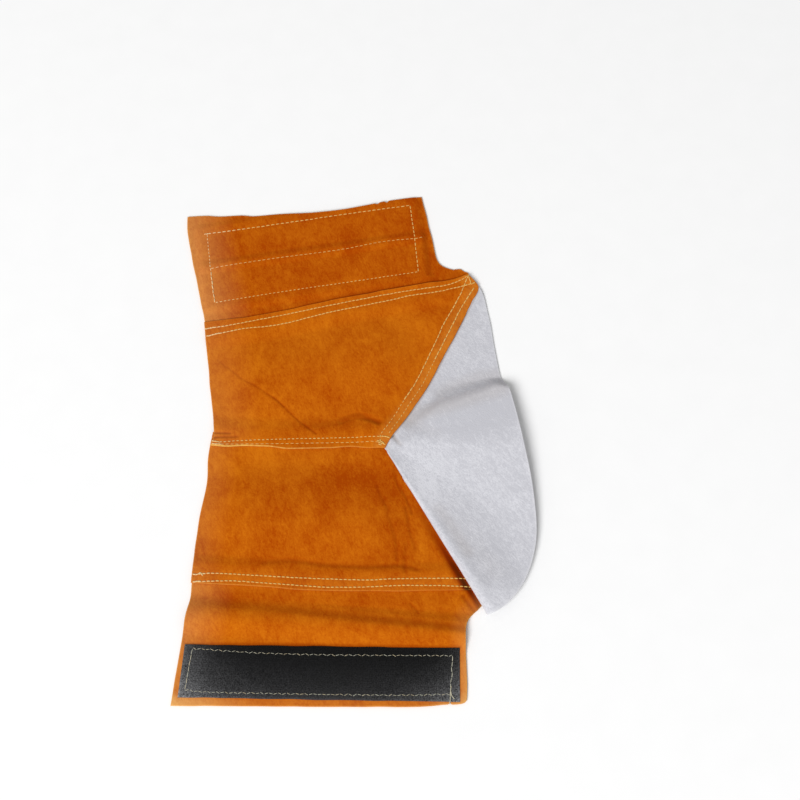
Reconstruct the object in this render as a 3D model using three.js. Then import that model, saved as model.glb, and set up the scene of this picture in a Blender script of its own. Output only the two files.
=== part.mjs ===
// A leather welding spat, opened out and lying on a flat surface with its outside up.
// Units are millimetres and +Z is up. The surface is z = 0, under the middle of the spat.
// +X runs down the leg towards the toe. +Y runs round the leg, from the hook end to the loop end.
import * as THREE from "three";

// Driving dimensions.
const LEATHER = 1.4; // split leather of the quarters and closures
const VAMP_LEATHER = 1.3; // softer split leather of the vamp
const TAPE = 1.2; // hook and loop tape
const TAPE_WIDTH = 40;
const CLEARANCE = 0.4; // between one layer and the next
const OVERLAP_MARGIN = 3; // a layer stays lifted this far past the edge of what it covers
const OVERLAP_RAMP = 26; // and comes down to the surface over this distance
const PANEL_COLUMNS = 26; // steps along a panel
const PANEL_ROWS = 15; // steps across a panel
const VAMP_STEPS_PER_SECTION = 2;
const VAMP_ROWS = 18; // steps from the root of the vamp to its outer edge
const END_CROWDING = 0.4; // share by which these steps are shorter near both ends
const OUTLINE_STEPS = 14; // points taken on each edge when distances are measured

const SUEDE = { color: 0xc06410, roughness: 0.95, metalness: 0 };
const GREY_SUEDE = { color: 0xb9bac0, roughness: 0.95, metalness: 0 };
const BLACK_TAPE = { color: 0x202124, roughness: 0.85, metalness: 0 };

// Cut edges of the leather panels, seen from above, as points of a smooth curve.
// near and far run from the top of the leg to the toe, left and right from near to far.
// The far edge of a hook-side panel and the near edge of a loop-side one is sewn to its neighbour.
const PANELS = {
  closure_loop: {
    near: [[-125, 86], [-76, 92.5], [-18, 107], [20, 115], [76, 126.5], [96, 131]],
    far: [[-150, 207], [-102, 208.6], [-24, 211], [8, 217.3], [28, 222.5], [60, 227.2]],
    left: [[-125, 86], [-130, 116], [-140.5, 157], [-148.5, 192], [-150, 207]],
    right: [[96, 131], [100.5, 147.5], [92, 152.5], [79, 155.5], [72.5, 165], [68.5, 185], [60, 227.2]],
  },
  closure_hook: {
    near: [[-131, -226.5], [-29, -227.2], [74.5, -226], [90, -224]],
    far: [[-121.5, -119], [-70, -122], [-14, -125.5], [40, -126], [103, -125]],
    left: [[-131, -226.5], [-127, -185], [-125, -166], [-122.2, -148], [-121.5, -119]],
    right: [[90, -224], [90.5, -184], [92, -163.5], [103, -151.5], [112, -141], [103, -125]],
  },
  quarter_hook: {
    near: [[-122.2, -133], [-71, -135.7], [-14, -139.2], [40.5, -139.6], [88, -138.4], [114, -137]],
    far: [[-113.5, -4], [-52, -6], [33, -4]],
    left: [[-122.2, -133], [-121.3, -110], [-119.4, -80], [-115.5, -50], [-116, -27], [-113.5, -4]],
    right: [[114, -137], [76, -72], [33, -4]],
  },
  quarter_loop: {
    near: [[-115, -16.8], [-52, -18.9], [23, -17.6], [31, -14]],
    far: [[-127, 100.4], [-79, 106.4], [-21.5, 120.8], [17, 128.6], [74, 140.5], [101, 148.5]],
    left: [[-115, -16.8], [-112.4, -6], [-117, 26.6], [-121.4, 55.8], [-125.7, 86], [-127, 100.4]],
    right: [[31, -14], [59, 30.6], [82, 75], [101.6, 115.3], [109, 136], [101, 148.5]],
  },
};

// Sections of the vamp, in order from its edge under the loop-side quarter, over the free flap with
// its ridge, to the fold over the hook-side quarter and back along the hem turned under that fold.
// A section is a straight line from root to tip. The lifts are heights above what lies underneath.
const VAMP_SECTIONS = [
  { at: "sewn edge", rootX: 14, rootY: -4, rootLift: 0, tipX: 96.5, tipY: 141, tipLift: 0 },
  { at: "loop seam", rootX: 25, rootY: -8, rootLift: 0, tipX: 109.3, tipY: 133, tipLift: 0 },
  { at: "flat", rootX: 28, rootY: -8.5, rootLift: 0, tipX: 117, tipY: 104, tipLift: 0 },
  { at: "flat", rootX: 31, rootY: -9, rootLift: 0, tipX: 122, tipY: 74, tipLift: 0.5 },
  { at: "valley", rootX: 34, rootY: -9.4, rootLift: 0, tipX: 126.3, tipY: 48, tipLift: 0.8 },
  { at: "ridge foot", rootX: 36, rootY: -10.2, rootLift: 0, tipX: 129, tipY: 37.5, tipLift: 1.5 },
  { at: "ridge top", rootX: 36, rootY: -11.4, rootLift: 0.4, tipX: 131.5, tipY: 33.5, tipLift: 10.5 },
  { at: "shoulder", rootX: 36, rootY: -12.6, rootLift: 0.8, tipX: 136, tipY: 15, tipLift: 12 },
  { at: "slope", rootX: 35.8, rootY: -13.8, rootLift: 1, tipX: 142.5, tipY: -17, tipLift: 9 },
  { at: "slope", rootX: 35.5, rootY: -15, rootLift: 1.4, tipX: 148.5, tipY: -58, tipLift: 6 },
  { at: "toe", rootX: 35, rootY: -16.2, rootLift: 1.8, tipX: 149, tipY: -100, tipLift: 4.5 },
  { at: "toe", rootX: 34.3, rootY: -17.2, rootLift: 2.2, tipX: 138, tipY: -132, tipLift: 3.6 },
  { at: "dip", rootX: 33.3, rootY: -18.2, rootLift: 2.6, tipX: 121, tipY: -150.5, tipLift: 3.6 },
  { at: "roll", rootX: 31.6, rootY: -19.6, rootLift: 3, tipX: 111.5, tipY: -156.5, tipLift: 5 },
  { at: "fold", rootX: 29.6, rootY: -21, rootLift: 1.5, tipX: 107.4, tipY: -157.5, tipLift: 2.5 },
  { at: "turn", rootX: 31.6, rootY: -19.4, rootLift: 0.1, tipX: 111, tipY: -153, tipLift: 0.2 },
  { at: "hem end", rootX: 34, rootY: -17.6, rootLift: 0, tipX: 118.5, tipY: -146, tipLift: 0.1 },
];

// The tapes. Along turns a tape's length away from +X, and height is that of its underside.
const TAPES = {
  hook_tape: { x: -20.1, y: -201.5, length: 211, along: -1.05, height: LEATHER + CLEARANCE },
  loop_tape_inner: { x: -33.2, y: 149.6, length: 190, along: 9.5, height: 0 },
  loop_tape_outer: { x: -39.8, y: 189.1, length: 190, along: 9.5, height: 0 },
};
const LOOP_TAPE_WIDTH = TAPE_WIDTH - 0.6; // the pair lies side by side

// Soft rises of the leather off the surface: each is a ridge from one point to another.
const FOLDS = [
  { at: "belly of the loop quarter", x1: -72, y1: 44, x2: 20, y2: 62, halfWidth: 46, height: 4 },
  { at: "belly of the hook quarter", x1: -78, y1: -74, x2: 8, y2: -78, halfWidth: 46, height: 4.5 },
  { at: "ridge of the hook closure", x1: -140, y1: -158, x2: 96, y2: -164, halfWidth: 17, height: 5 },
];

// How far a point lies outside a closed outline: 0 inside it.
function distanceOutside(outline, x, y) {
  let inside = false;
  let nearest = Infinity;
  outline.forEach((end, i) => {
    const start = outline.at(i - 1);
    const edge = end.clone().sub(start);
    const offset = new THREE.Vector2(x, y).sub(start);
    const along = THREE.MathUtils.clamp(offset.dot(edge) / edge.lengthSq(), 0, 1);
    nearest = Math.min(nearest, offset.distanceTo(edge.clone().multiplyScalar(along)));
    if (start.y > y !== end.y > y && offset.x < (edge.x * offset.y) / edge.y) inside = !inside;
  });
  return inside ? 0 : nearest;
}

// Height of the leather's own folds above the surface.
function foldHeight(x, y) {
  return FOLDS.reduce((sum, { x1, y1, x2, y2, halfWidth, height }) => {
    const run = new THREE.Vector2(x2 - x1, y2 - y1);
    const offset = new THREE.Vector2(x - x1, y - y1);
    const along = THREE.MathUtils.clamp(offset.dot(run) / run.lengthSq(), 0, 1);
    const away = offset.distanceTo(run.multiplyScalar(along)) / halfWidth;
    return sum + (away < 1 ? height * (1 - away ** 2) ** 2 : 0);
  }, 0);
}

// Layers already laid, from the bottom up: what each covers and how much height it takes.
const layers = [];

// Height at which a new layer lies: on the folds, over every layer that it covers.
function layHeight(x, y) {
  return layers.reduce((height, { outline, thickness }) => {
    const past = distanceOutside(outline, x, y);
    const down = THREE.MathUtils.smoothstep(past, OVERLAP_MARGIN, OVERLAP_MARGIN + OVERLAP_RAMP);
    return height + (thickness + CLEARANCE) * (1 - down);
  }, foldHeight(x, y));
}

// A wall of even thickness around the middle surface point(u, v), with u and v from 0 to 1.
function wallGeometry(point, columns, rows, thickness) {
  const across = columns + 1;
  const middle = [];
  for (let j = 0; j <= rows; j++) {
    for (let i = 0; i <= columns; i++) middle.push(point(i / columns, j / rows));
  }
  const at = (i, j) =>
    middle[THREE.MathUtils.clamp(j, 0, rows) * across + THREE.MathUtils.clamp(i, 0, columns)];
  const positions = [];
  for (const side of [1, -1]) {
    for (let j = 0; j <= rows; j++) {
      for (let i = 0; i <= columns; i++) {
        const alongU = at(i + 1, j).clone().sub(at(i - 1, j));
        const alongV = at(i, j + 1).clone().sub(at(i, j - 1));
        const normal = alongU.cross(alongV).normalize();
        const placed = at(i, j).clone().addScaledVector(normal, (side * thickness) / 2);
        positions.push(placed.x, placed.y, Math.max(placed.z, 0));
      }
    }
  }
  const under = middle.length; // index of the first vertex of the underside
  const faces = [];
  const quad = (a, b, c, d) => faces.push(a, b, c, a, c, d);
  for (let j = 0; j < rows; j++) {
    for (let i = 0; i < columns; i++) {
      const a = j * across + i;
      const b = a + 1;
      const c = b + across;
      const d = a + across;
      quad(a, b, c, d);
      quad(under + a, under + d, under + c, under + b);
    }
  }
  const rim = [];
  for (let i = 0; i < columns; i++) rim.push(i);
  for (let j = 0; j < rows; j++) rim.push(j * across + columns);
  for (let i = columns; i > 0; i--) rim.push(rows * across + i);
  for (let j = rows; j > 0; j--) rim.push(j * across);
  rim.forEach((to, k) => {
    const from = rim.at(k - 1);
    quad(from, under + from, under + to, to);
  });
  return new THREE.BufferGeometry()
    .setAttribute("position", new THREE.Float32BufferAttribute(positions, 3))
    .setIndex(faces);
}

const curveThrough = (points) => new THREE.SplineCurve(points.map(([x, y]) => new THREE.Vector2(x, y)));
const spat = new THREE.Group();

function addPiece(name, geometry, finish, outline, thickness) {
  geometry.computeVertexNormals();
  const mesh = new THREE.Mesh(geometry, new THREE.MeshStandardMaterial(finish));
  mesh.name = name;
  spat.add(mesh);
  layers.push({ outline, thickness });
}

// A flat tape at a height above the surface.
function addTape(name, { x, y, length, along, height }, width) {
  const turned = THREE.MathUtils.degToRad(along);
  const cut = new THREE.Shape();
  cut.moveTo(-length / 2, -width / 2).lineTo(length / 2, -width / 2);
  cut.lineTo(length / 2, width / 2).lineTo(-length / 2, width / 2);
  const geometry = new THREE.ExtrudeGeometry(cut, { depth: TAPE, bevelEnabled: false });
  geometry.rotateZ(turned).translate(x, y, height);
  const centre = new THREE.Vector2(x, y);
  const outline = cut.getPoints().map((p) => p.rotateAround(new THREE.Vector2(), turned).add(centre));
  addPiece(name, geometry, BLACK_TAPE, outline, TAPE);
}

// A leather panel: its cut edges are filled by a smooth patch that drapes over what is already laid.
function addPanel(name) {
  const edges = Object.fromEntries(
    Object.entries(PANELS[name]).map(([side, points]) => [side, curveThrough(points)]),
  );
  const corner = (side, end) => edges[side].getPointAt(end);
  const patch = (u, v) => {
    const ruled = edges.near.getPointAt(u).lerp(edges.far.getPointAt(u), v);
    ruled.add(edges.left.getPointAt(v).lerp(edges.right.getPointAt(v), u));
    const nearChord = corner("near", 0).lerp(corner("near", 1), u);
    return ruled.sub(nearChord.lerp(corner("far", 0).lerp(corner("far", 1), u), v));
  };
  const point = (u, v) => {
    const { x, y } = patch(u, v);
    return new THREE.Vector3(x, y, layHeight(x, y) + LEATHER / 2);
  };
  const walk = (side, forwards) => {
    const points = edges[side].getSpacedPoints(OUTLINE_STEPS);
    return (forwards ? points : points.reverse()).slice(1);
  };
  const outline = [
    ...walk("near", true),
    ...walk("right", true),
    ...walk("far", false),
    ...walk("left", false),
  ];
  const geometry = wallGeometry(point, PANEL_COLUMNS, PANEL_ROWS, LEATHER);
  addPiece(name, geometry, SUEDE, outline, LEATHER);
}

// The vamp: straight sections from root to tip, joined smoothly.
function addVamp() {
  const through = (points) => new THREE.CatmullRomCurve3(points);
  const roots = through(VAMP_SECTIONS.map((s) => new THREE.Vector3(s.rootX, s.rootY, s.rootLift)));
  const tips = through(VAMP_SECTIONS.map((s) => new THREE.Vector3(s.tipX, s.tipY, s.tipLift)));
  const point = (u, v) => {
    const along = v - (END_CROWDING * Math.sin(2 * Math.PI * v)) / (2 * Math.PI);
    const placed = roots.getPoint(1 - u).lerp(tips.getPoint(1 - u), along);
    placed.z += layHeight(placed.x, placed.y) + VAMP_LEATHER / 2;
    return placed;
  };
  const columns = (VAMP_SECTIONS.length - 1) * VAMP_STEPS_PER_SECTION;
  const geometry = wallGeometry(point, columns, VAMP_ROWS, VAMP_LEATHER);
  const fold = VAMP_SECTIONS.findIndex((s) => s.at === "fold");
  const rim = VAMP_SECTIONS.slice(0, fold + 1);
  const outline = [
    ...rim.map((s) => new THREE.Vector2(s.tipX, s.tipY)),
    ...rim.reverse().map((s) => new THREE.Vector2(s.rootX, s.rootY)),
  ];
  addPiece("vamp", geometry, GREY_SUEDE, outline, VAMP_LEATHER);
}

// The pieces are laid from the bottom up.
addTape("loop_tape_inner", TAPES.loop_tape_inner, LOOP_TAPE_WIDTH);
addTape("loop_tape_outer", TAPES.loop_tape_outer, LOOP_TAPE_WIDTH);
addPanel("closure_loop");
addPanel("closure_hook");
addPanel("quarter_hook");
addVamp();
addPanel("quarter_loop");
addTape("hook_tape", TAPES.hook_tape, TAPE_WIDTH);

export default spat;
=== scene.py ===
"""A leather welding spat, opened out with its outside up: cut panels, a turned vamp, tapes and seams."""
import math

import bpy
import numpy as np
from bpy.props import FloatProperty, FloatVectorProperty, PointerProperty
from bpy.types import NodeSocket, Operator, Panel, PropertyGroup, Scene
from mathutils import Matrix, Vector


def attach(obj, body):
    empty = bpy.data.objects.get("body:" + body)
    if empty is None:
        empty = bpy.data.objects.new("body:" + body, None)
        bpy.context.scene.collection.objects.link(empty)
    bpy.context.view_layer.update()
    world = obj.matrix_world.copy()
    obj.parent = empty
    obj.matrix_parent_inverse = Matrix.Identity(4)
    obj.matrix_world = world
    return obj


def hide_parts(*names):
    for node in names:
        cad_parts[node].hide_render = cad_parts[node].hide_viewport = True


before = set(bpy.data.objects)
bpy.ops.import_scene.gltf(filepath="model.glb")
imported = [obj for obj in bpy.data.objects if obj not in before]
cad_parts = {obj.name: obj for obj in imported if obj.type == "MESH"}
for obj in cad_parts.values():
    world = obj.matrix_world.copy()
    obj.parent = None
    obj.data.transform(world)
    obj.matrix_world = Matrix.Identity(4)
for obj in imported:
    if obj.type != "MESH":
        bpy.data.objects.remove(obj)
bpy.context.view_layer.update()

bl_info = {
    "name": "Welding Spat",
    "version": (1, 0, 0),
    "blender": (4, 5, 0),
    "location": "3D View > Sidebar > Spat",
    "description": "Builds a leather welding spat that lies opened out on a pale floor",
    "category": "Object",
}

MM = 0.001  # the tables below are in millimetres, and Blender's lengths are in metres

# Cut edges of the leather panels, seen from above, as points of a smooth curve.
# near and far run from the top of the leg to the toe, left and right from near to far.
PANELS = {
    "closure_loop": {
        "near": [(-125, 86), (-76, 92.5), (-18, 107), (20, 115), (76, 126.5), (96, 131)],
        "far": [(-150, 206), (-134, 206.9), (-120, 206), (-101, 207.6), (-89, 206.8), (-64, 208.8),
                (-24, 211), (8, 217.3), (28, 222.5), (60, 227.2)],
        "left": [(-125, 86), (-131, 115), (-141.6, 157), (-148.2, 186), (-150, 206)],
        "right": [(96, 131), (101, 146), (96.8, 149.4), (94.2, 151.4), (93, 151.9), (90.4, 151.5),
                  (86, 151.3), (77, 155.2), (72.4, 163.5), (68.5, 185), (60, 227.2)],
    },
    "closure_hook": {
        "near": [(-131, -226.7), (-29, -227.3), (40, -227.6), (62, -227.2), (74, -226), (83, -225.8),
                 (88, -224.9), (90.2, -223)],
        "far": [(-121.5, -119), (-70, -122), (-14, -125.5), (40, -126), (103, -125)],
        "left": [(-131, -226.7), (-127, -185), (-125, -166), (-122.2, -148), (-121.5, -119)],
        "right": [(90.2, -223), (90.8, -212), (90.5, -184), (92, -163.5), (103, -151.5), (112, -141),
                  (103, -125)],
    },
    "quarter_hook": {
        "near": [(-122.2, -133), (-71, -135.7), (-14, -139.2), (40.5, -139.6), (88, -138.4), (114, -137)],
        "far": [(-113.5, -4), (-52, -6), (33, -4)],
        "left": [(-122.2, -133), (-121.3, -110), (-119.4, -80), (-115.5, -50), (-116, -27), (-113.5, -4)],
        "right": [(114, -137), (76, -72), (33, -4)],
    },
    "quarter_loop": {
        "near": [(-115, -16.8), (-52, -19), (0, -18.6), (28.3, -18.6)],
        "far": [(-127.8, 98), (-97, 101.8), (-63, 108.4), (-20, 119.3), (32, 130.2), (65, 136.8),
                (88, 140.5), (100, 145.4)],
        "left": [(-115, -16.8), (-112.4, -6), (-117, 26.6), (-121.4, 55.8), (-125.9, 86), (-127.8, 98)],
        "right": [(28.3, -18.6), (30, -14.8), (35, -7.4), (44, 6), (60.5, 31), (82.5, 75), (93, 97.2),
                  (101, 114.2), (106, 124), (108.8, 131), (108.2, 135), (105, 139.4), (100, 145.4)],
    },
}
SIDES = ("near", "far", "left", "right")

# Straight sections of the vamp, from its edge under the loop-side quarter, over the ridge and the toe,
# to the fold and the hem that is turned under it. The lifts are heights above what lies underneath.
VAMP_COLUMNS = ("root_x", "root_y", "root_lift", "tip_x", "tip_y", "tip_lift")
VAMP_SECTIONS = {
    "sewn edge": (14, -4, 0, 96.5, 141, 0),
    "loop seam": (23, -8, 0, 109.3, 133, 0),
    "upper flat": (25, -8.6, 0, 117, 104, 4),
    "lower flat": (26.5, -9.2, 0, 120.9, 74, 9),
    "valley": (28, -9.8, 0, 124.4, 50, 11),
    "ridge foot": (28.5, -10.4, 0, 126.2, 42.5, 11.2),
    "ridge top": (28.6, -11.2, 0.1, 130.2, 33.6, 10.8),
    "shoulder": (28.6, -12, 0.1, 134.8, 15, 11.4),
    "upper slope": (28.4, -12.8, 0.2, 140.8, -17, 11.8),
    "lower slope": (28.1, -13.6, 0.2, 147, -58, 8.4),
    "upper toe": (27.8, -14.4, 0.3, 147.6, -100, 4.8),
    "lower toe": (27.5, -15.2, 0.4, 137, -132.4, 4.2),
    "dip": (27.4, -16, 0.5, 122, -151, 4.8),
    "roll": (27.4, -17.2, 0.5, 112.3, -157.3, 5.3),
    "fold": (28.5, -18.6, 0.3, 107.8, -158.4, 2.6),
    "turn": (52, -56, 0.1, 113.5, -152, 0.2),
    "hem end": (59, -54, 0, 121, -145, 0.1),
}
# The line of the vamp's ridge in plan, from its seam to its edge: the vamp comes down across it to lie flat.
RIDGE_LINE = [(40, 10), (57, 16.5), (74, 21.5), (99, 28.8), (112, 33.2), (122, 36.2), (131, 34)]
RIDGE_WIDTH = (21, 21, 20, 13)  # width of the slope at even steps along the line
RIDGE_ABOVE = 0.68  # share of the slope above the line

# Tapes: middle, length, width, the turn of the length away from +X in degrees, and how far the far corner of
# the left end is cut back.
TAPE_COLUMNS = ("x", "y", "length", "width", "turn", "cut_back")
TAPES = {
    "loop_tape_inner": (-32.9, 148, 190, 39.4, 9.5, 0),
    "loop_tape_outer": (-39.5, 187.5, 190, 39.4, 9.5, 0),
    "hook_tape": (-19.9, -202.4, 211, 40, -0.87, 1.8),
}

# The order in which the pieces lie on each other, from the bottom up.
LAY_ORDER = ("loop_tape_inner", "loop_tape_outer", "closure_loop", "closure_hook", "quarter_hook",
             "vamp", "quarter_loop", "hook_tape")

# Broad rises of the leather off the floor, each along a straight ridge.
FOLD_COLUMNS = ("x1", "y1", "x2", "y2", "half_width", "height")
FOLDS = {
    "belly of the loop quarter": (-72, 44, 20, 62, 46, 3),
    "belly of the hook quarter": (-78, -74, 8, -78, 46, 4),
    "ridge of the hook closure": (-140, -157, 96, -173, 17, 4.6),
}

# Creases and dents of each piece: half width, depth, their strength at both ends, how dark the nap is
# there, and points along them. That darkness is partly pressed nap and partly painted shade that falls in
# the crease; rows without depth are painted shade alone.
CREASE_COLUMNS = ("half_width", "depth", "start", "stop", "shade", "points")
CREASES = {
    "quarter_loop": {
        "slanting crease": (1.5, 0.35, 0.3, 1, 0.44, [
            (-114, 62), (-99.8, 50.3), (-91, 42.8), (-79.8, 36.3), (-71, 29.8), (-62.5, 24.3), (-53, 15.2),
            (-42, 4.3), (-28.4, -6.5)]),
        "deep part of the slanting crease": (1.4, 0.3, 0.2, 1, 0.2, [(-70, 29), (-62.5, 24.3), (-56, 18)]),
        "dent at the apex": (4.5, 1.3, 0.5, 1, 0.4, [(-8, 6), (2, 10), (8, 10), (23, 4)]),
        "soft run to the apex": (6, 0.6, 0.6, 0.6, 0.1, [(-34, 1), (-8, 6)]),
        "upper tuck at the front seam": (2, 0.8, 1, 0.7, 0.5, [(-115, -5.5), (-99, -6)]),
        "lower tuck at the front seam": (2, 0.8, 1, 0.5, 0.5, [(-115, -9.5), (-93, -9)]),
    },
    "quarter_hook": {
        "arch over the hook seam": (3.4, 0.5, 0.7, 0.9, 0.3, [
            (-66, -116), (-44, -114), (-16, -118), (14, -119.5), (40, -118.5), (55, -122)]),
        "upper wrinkle by the fold": (2.2, 0.4, 0.5, 1, 0.36, [
            (35.6, -38), (38.5, -50), (45, -61), (50, -75)]),
        "middle wrinkle by the fold": (2.4, 0.4, 1, 0.5, 0.28, [
            (45, -70), (47, -80), (49, -92), (53, -104)]),
        "low wrinkle by the fold": (2.8, 0.4, 0.6, 1, 0.2, [(46, -100), (44.6, -110), (44.4, -123)]),
        "faint wrinkle by the fold": (2.8, 0.3, 0.5, 1, 0.22, [
            (28, -64), (32.5, -81), (37.3, -98), (38, -112)]),
        "red streak by the fold": (2.4, 0.2, 1, 0.3, 0.26, [(22, -52), (27, -66), (33, -74)]),
        # Painted shadow in the gap under the vamp's fold.
        "painted shadow under the fold": (6, 0.5, 0.1, 1, 1, [(52, -66), (70, -97), (93, -138)]),
    },
    "closure_hook": {
        # Painted shadow in the gap under the low end of the vamp's fold.
        "low painted shadow by the fold": (4.5, 0.4, 1, 0.8, 0.85, [(92, -134), (103, -153)]),
        # Slack with a groove, darkened with painted shade on the far slope of the hook closure's ridge.
        "slack above the hook ridge": (5.5, 0.9, 0.15, 1, 0.32, [
            (-118, -148), (-75, -151), (-44, -153.5), (-2, -159), (56, -165), (89, -169)]),
        "crease by the vamp's tip": (2.6, 0.9, 1, 0.8, 0.4, [(89, -143), (99, -156)]),
        "scuff on the hook closure": (1.6, 0.35, 1, 1, 0.2, [(48, -149), (54, -155)]),
        # Painted shadow of the hook tape's far edge on the closure, over a slight groove.
        "shadow by the edge of the hook tape": (2, 0.2, 1, 1, 0.35, [(-124, -180), (-20, -181), (86, -183)]),
    },
    "closure_loop": {
        "slack by the loop border": (5, 0.7, 0.6, 1, 0.2, [(63, 186), (66, 148)]),
        "slack under the loop border": (5, 0.5, 0.4, 1, 0.15, [(-40, 117), (20, 130), (72, 140)]),
        "shade above the loop seam": (8, 0.3, 0.5, 1, 0.06, [
            (-97, 105), (-63, 112), (-20, 123), (32, 134), (65, 141), (96, 147)]),
        # Painted shadow cast by the loop quarter's far edge, over a shallow groove.
        "shadow line above the loop seam": (2.2, 0.4, 0.6, 0.9, 0.6, [
            (-126, 98.6), (-97, 102.3), (-63, 109), (-20, 119.9), (32, 130.8), (65, 137.4), (88, 141.1),
            (99, 145)]),
    },
    "vamp": {
        "valley behind the fold": (15, 0.7, 0.3, 1, 0.06, [(76, -67), (90, -87), (103, -110), (111, -124)]),
        "shade inside the fold": (8, 0, 0.5, 0.7, 0.24, [(71, -73), (78, -82.5), (87, -98.5), (93, -109)]),
        "pinch at the vamp's root": (3, 0.9, 1, 0.4, 0.5, [(35.2, -8.6), (37.4, -11.9), (40.5, -16)]),
        "hollow by the vamp's root": (9, 0.6, 1, 0.4, 0.1, [(48, 3), (70, -7)]),
        "shade above the ridge": (11, 0, 0.7, 0.8, 0.2, [
            (74, 31), (86.5, 37.5), (99, 42), (107.6, 45.5), (124, 47)]),
        # Painted shade along the ridge, with no groove.
        "painted shade along the ridge": (12, 0, 1, 0.8, 0.24, [(46, 6), (57, 11), (74, 16), (99, 23), (126, 31)]),
        # Painted shadow cast by the loop quarter's edge onto the vamp, over a shallow groove.
        "shadow line beside the vamp seam": (1.3, 0.2, 1, 1, 0.45, [
            (33, -10.5), (36, -6.5), (61, 31), (83, 75), (101.6, 114), (109, 130)]),
    },
}

# Small waves of a cut edge: height and length.
EDGE_WAVES = {
    ("quarter_loop", "near"): (1.0, 17),
    ("quarter_hook", "near"): (0.5, 20),
    ("quarter_loop", "right"): (0.5, 8),
    ("closure_loop", "far"): (0.6, 24),
}
PLAIN_EDGE_WAVE = (0.35, 13)

# Nicks of the knife in a cut edge: panel, side, place along X, width and depth.
NICKS = (
    ("closure_loop", "far", 20, 5, 1.6),
    ("closure_loop", "far", 28.5, 3.4, 2.2),
    ("closure_hook", "near", 77.8, 2.6, 1.3),
)

# The pale core of the hide along a cut edge: strength at both of its ends, and width.
PALE_EDGES = {
    ("quarter_loop", "near"): (0.9, 0.1, 0.9),
    ("quarter_hook", "near"): (0.2, 0.04, 0.8),
    ("quarter_loop", "right"): (0.12, 0.08, 14),
    ("quarter_loop", "far"): (0.06, 0.06, 0.8),
}
PLAIN_PALE_EDGE = (0.25, 0.25, 0.9)

# Nap that is rubbed along an edge, and along the left edges painted haze of light: the width at full
# strength, the width at which it ends, how pale it is rubbed and how much lighter the nap lies.
RUBBED_COLUMNS = ("full", "width", "faded", "tone")
RUBBED_EDGES = {
    ("closure_loop", "left"): (0, 44, 0.44, 0),
    ("quarter_loop", "left"): (0, 42, 0.13, 0),
    ("quarter_loop", "right"): (6, 18, 0, 0.12),
    ("quarter_hook", "left"): (0, 26, 0.13, 0),
    ("quarter_hook", "near"): (8, 16, 0.02, 0.15),
    ("closure_hook", "left"): (0, 36, 0.3, 0),
    ("closure_hook", "near"): (4, 10, 0.1, 0),
    ("closure_hook", "right"): (0, 14, 0.18, 0),
}

# How light each panel is: panels are cut from different parts of the hide.
PANEL_TONES = {
    "closure_loop": -0.2,
    "quarter_loop": 0.1,
    "quarter_hook": -0.06,
    "closure_hook": 0.06,
    "vamp": -0.16,
}

# Patches of each piece's nap that lie lighter or darker, or are rubbed pale, and patches of painted light and
# shade, named so: place, reach both ways and strengths.
PATCH_COLUMNS = ("x", "y", "reach_x", "reach_y", "tone", "faded")
PATCHES = {
    "quarter_hook": {
        "light strip under the front seam": (-66, -29, 84, 26, 0.42, 0),
        "dark patch near the apex": (6, -44, 54, 34, -0.26, 0),
        "dark patch beside the fold": (44, -72, 22, 34, -0.14, 0),
        "light patch low by the fold": (66, -120, 22, 14, 0.1, 0),
        # Painted highlight on a raised fold beside the wrinkles.
        "painted highlight beside the wrinkles": (57.8, -103, 7, 24, 0.3, 0),
        "dull nap in the hook quarter": (-60, -76, 80, 26, -0.08, 0),
    },
    "closure_hook": {
        "dark strip under the hook seam": (-84, -144, 60, 10, -0.36, 0),
        "dull nap over the hook tape": (64, -174, 46, 12, -0.2, 0),
        "dull nap right of the hook seam": (26, -146, 44, 14, -0.3, 0),
        "light nap by the right edge": (86, -170, 16, 14, 0.35, 0),
        "rubbed strip beside the tape": (93, -206, 12, 36, 0, 0.35),
        "rubbed corner at the left": (-134, -226, 74, 12, 0, 0.5),
        "rubbed corner at the right": (92, -226, 40, 12, 0, 0.4),
    },
    "quarter_loop": {
        # Painted shade that evens out the light on the lower slope of the loop quarter's belly.
        "painted shade on the loop quarter's belly": (-36, 28, 86, 28, -0.22, 0),
        "dark patch over the apex": (-22, 2, 44, 14, -0.35, 0),
        "dull nap by the vamp seam": (60, 112, 60, 44, -0.1, 0),
    },
    "closure_loop": {
        "dull nap at the corner of the loop closure": (70, 152, 26, 20, -0.22, 0),
    },
    "vamp": {
        # Painted shade under the ridge, at its end and in the valley behind the fold, and painted light by
        # the root where the vamp slopes towards the light.
        "painted shade under the ridge": (100, 4, 62, 30, -0.6, 0),
        "painted light by the root": (62, -46, 38, 42, 0.42, 0),
        "painted shade at the end of the ridge": (130, 16, 26, 24, -0.4, 0),
        "painted shade in the valley": (110, -104, 26, 34, -0.22, 0),
        "light nap at the toe": (124, -146, 26, 16, 0.5, 0),
    },
}

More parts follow.
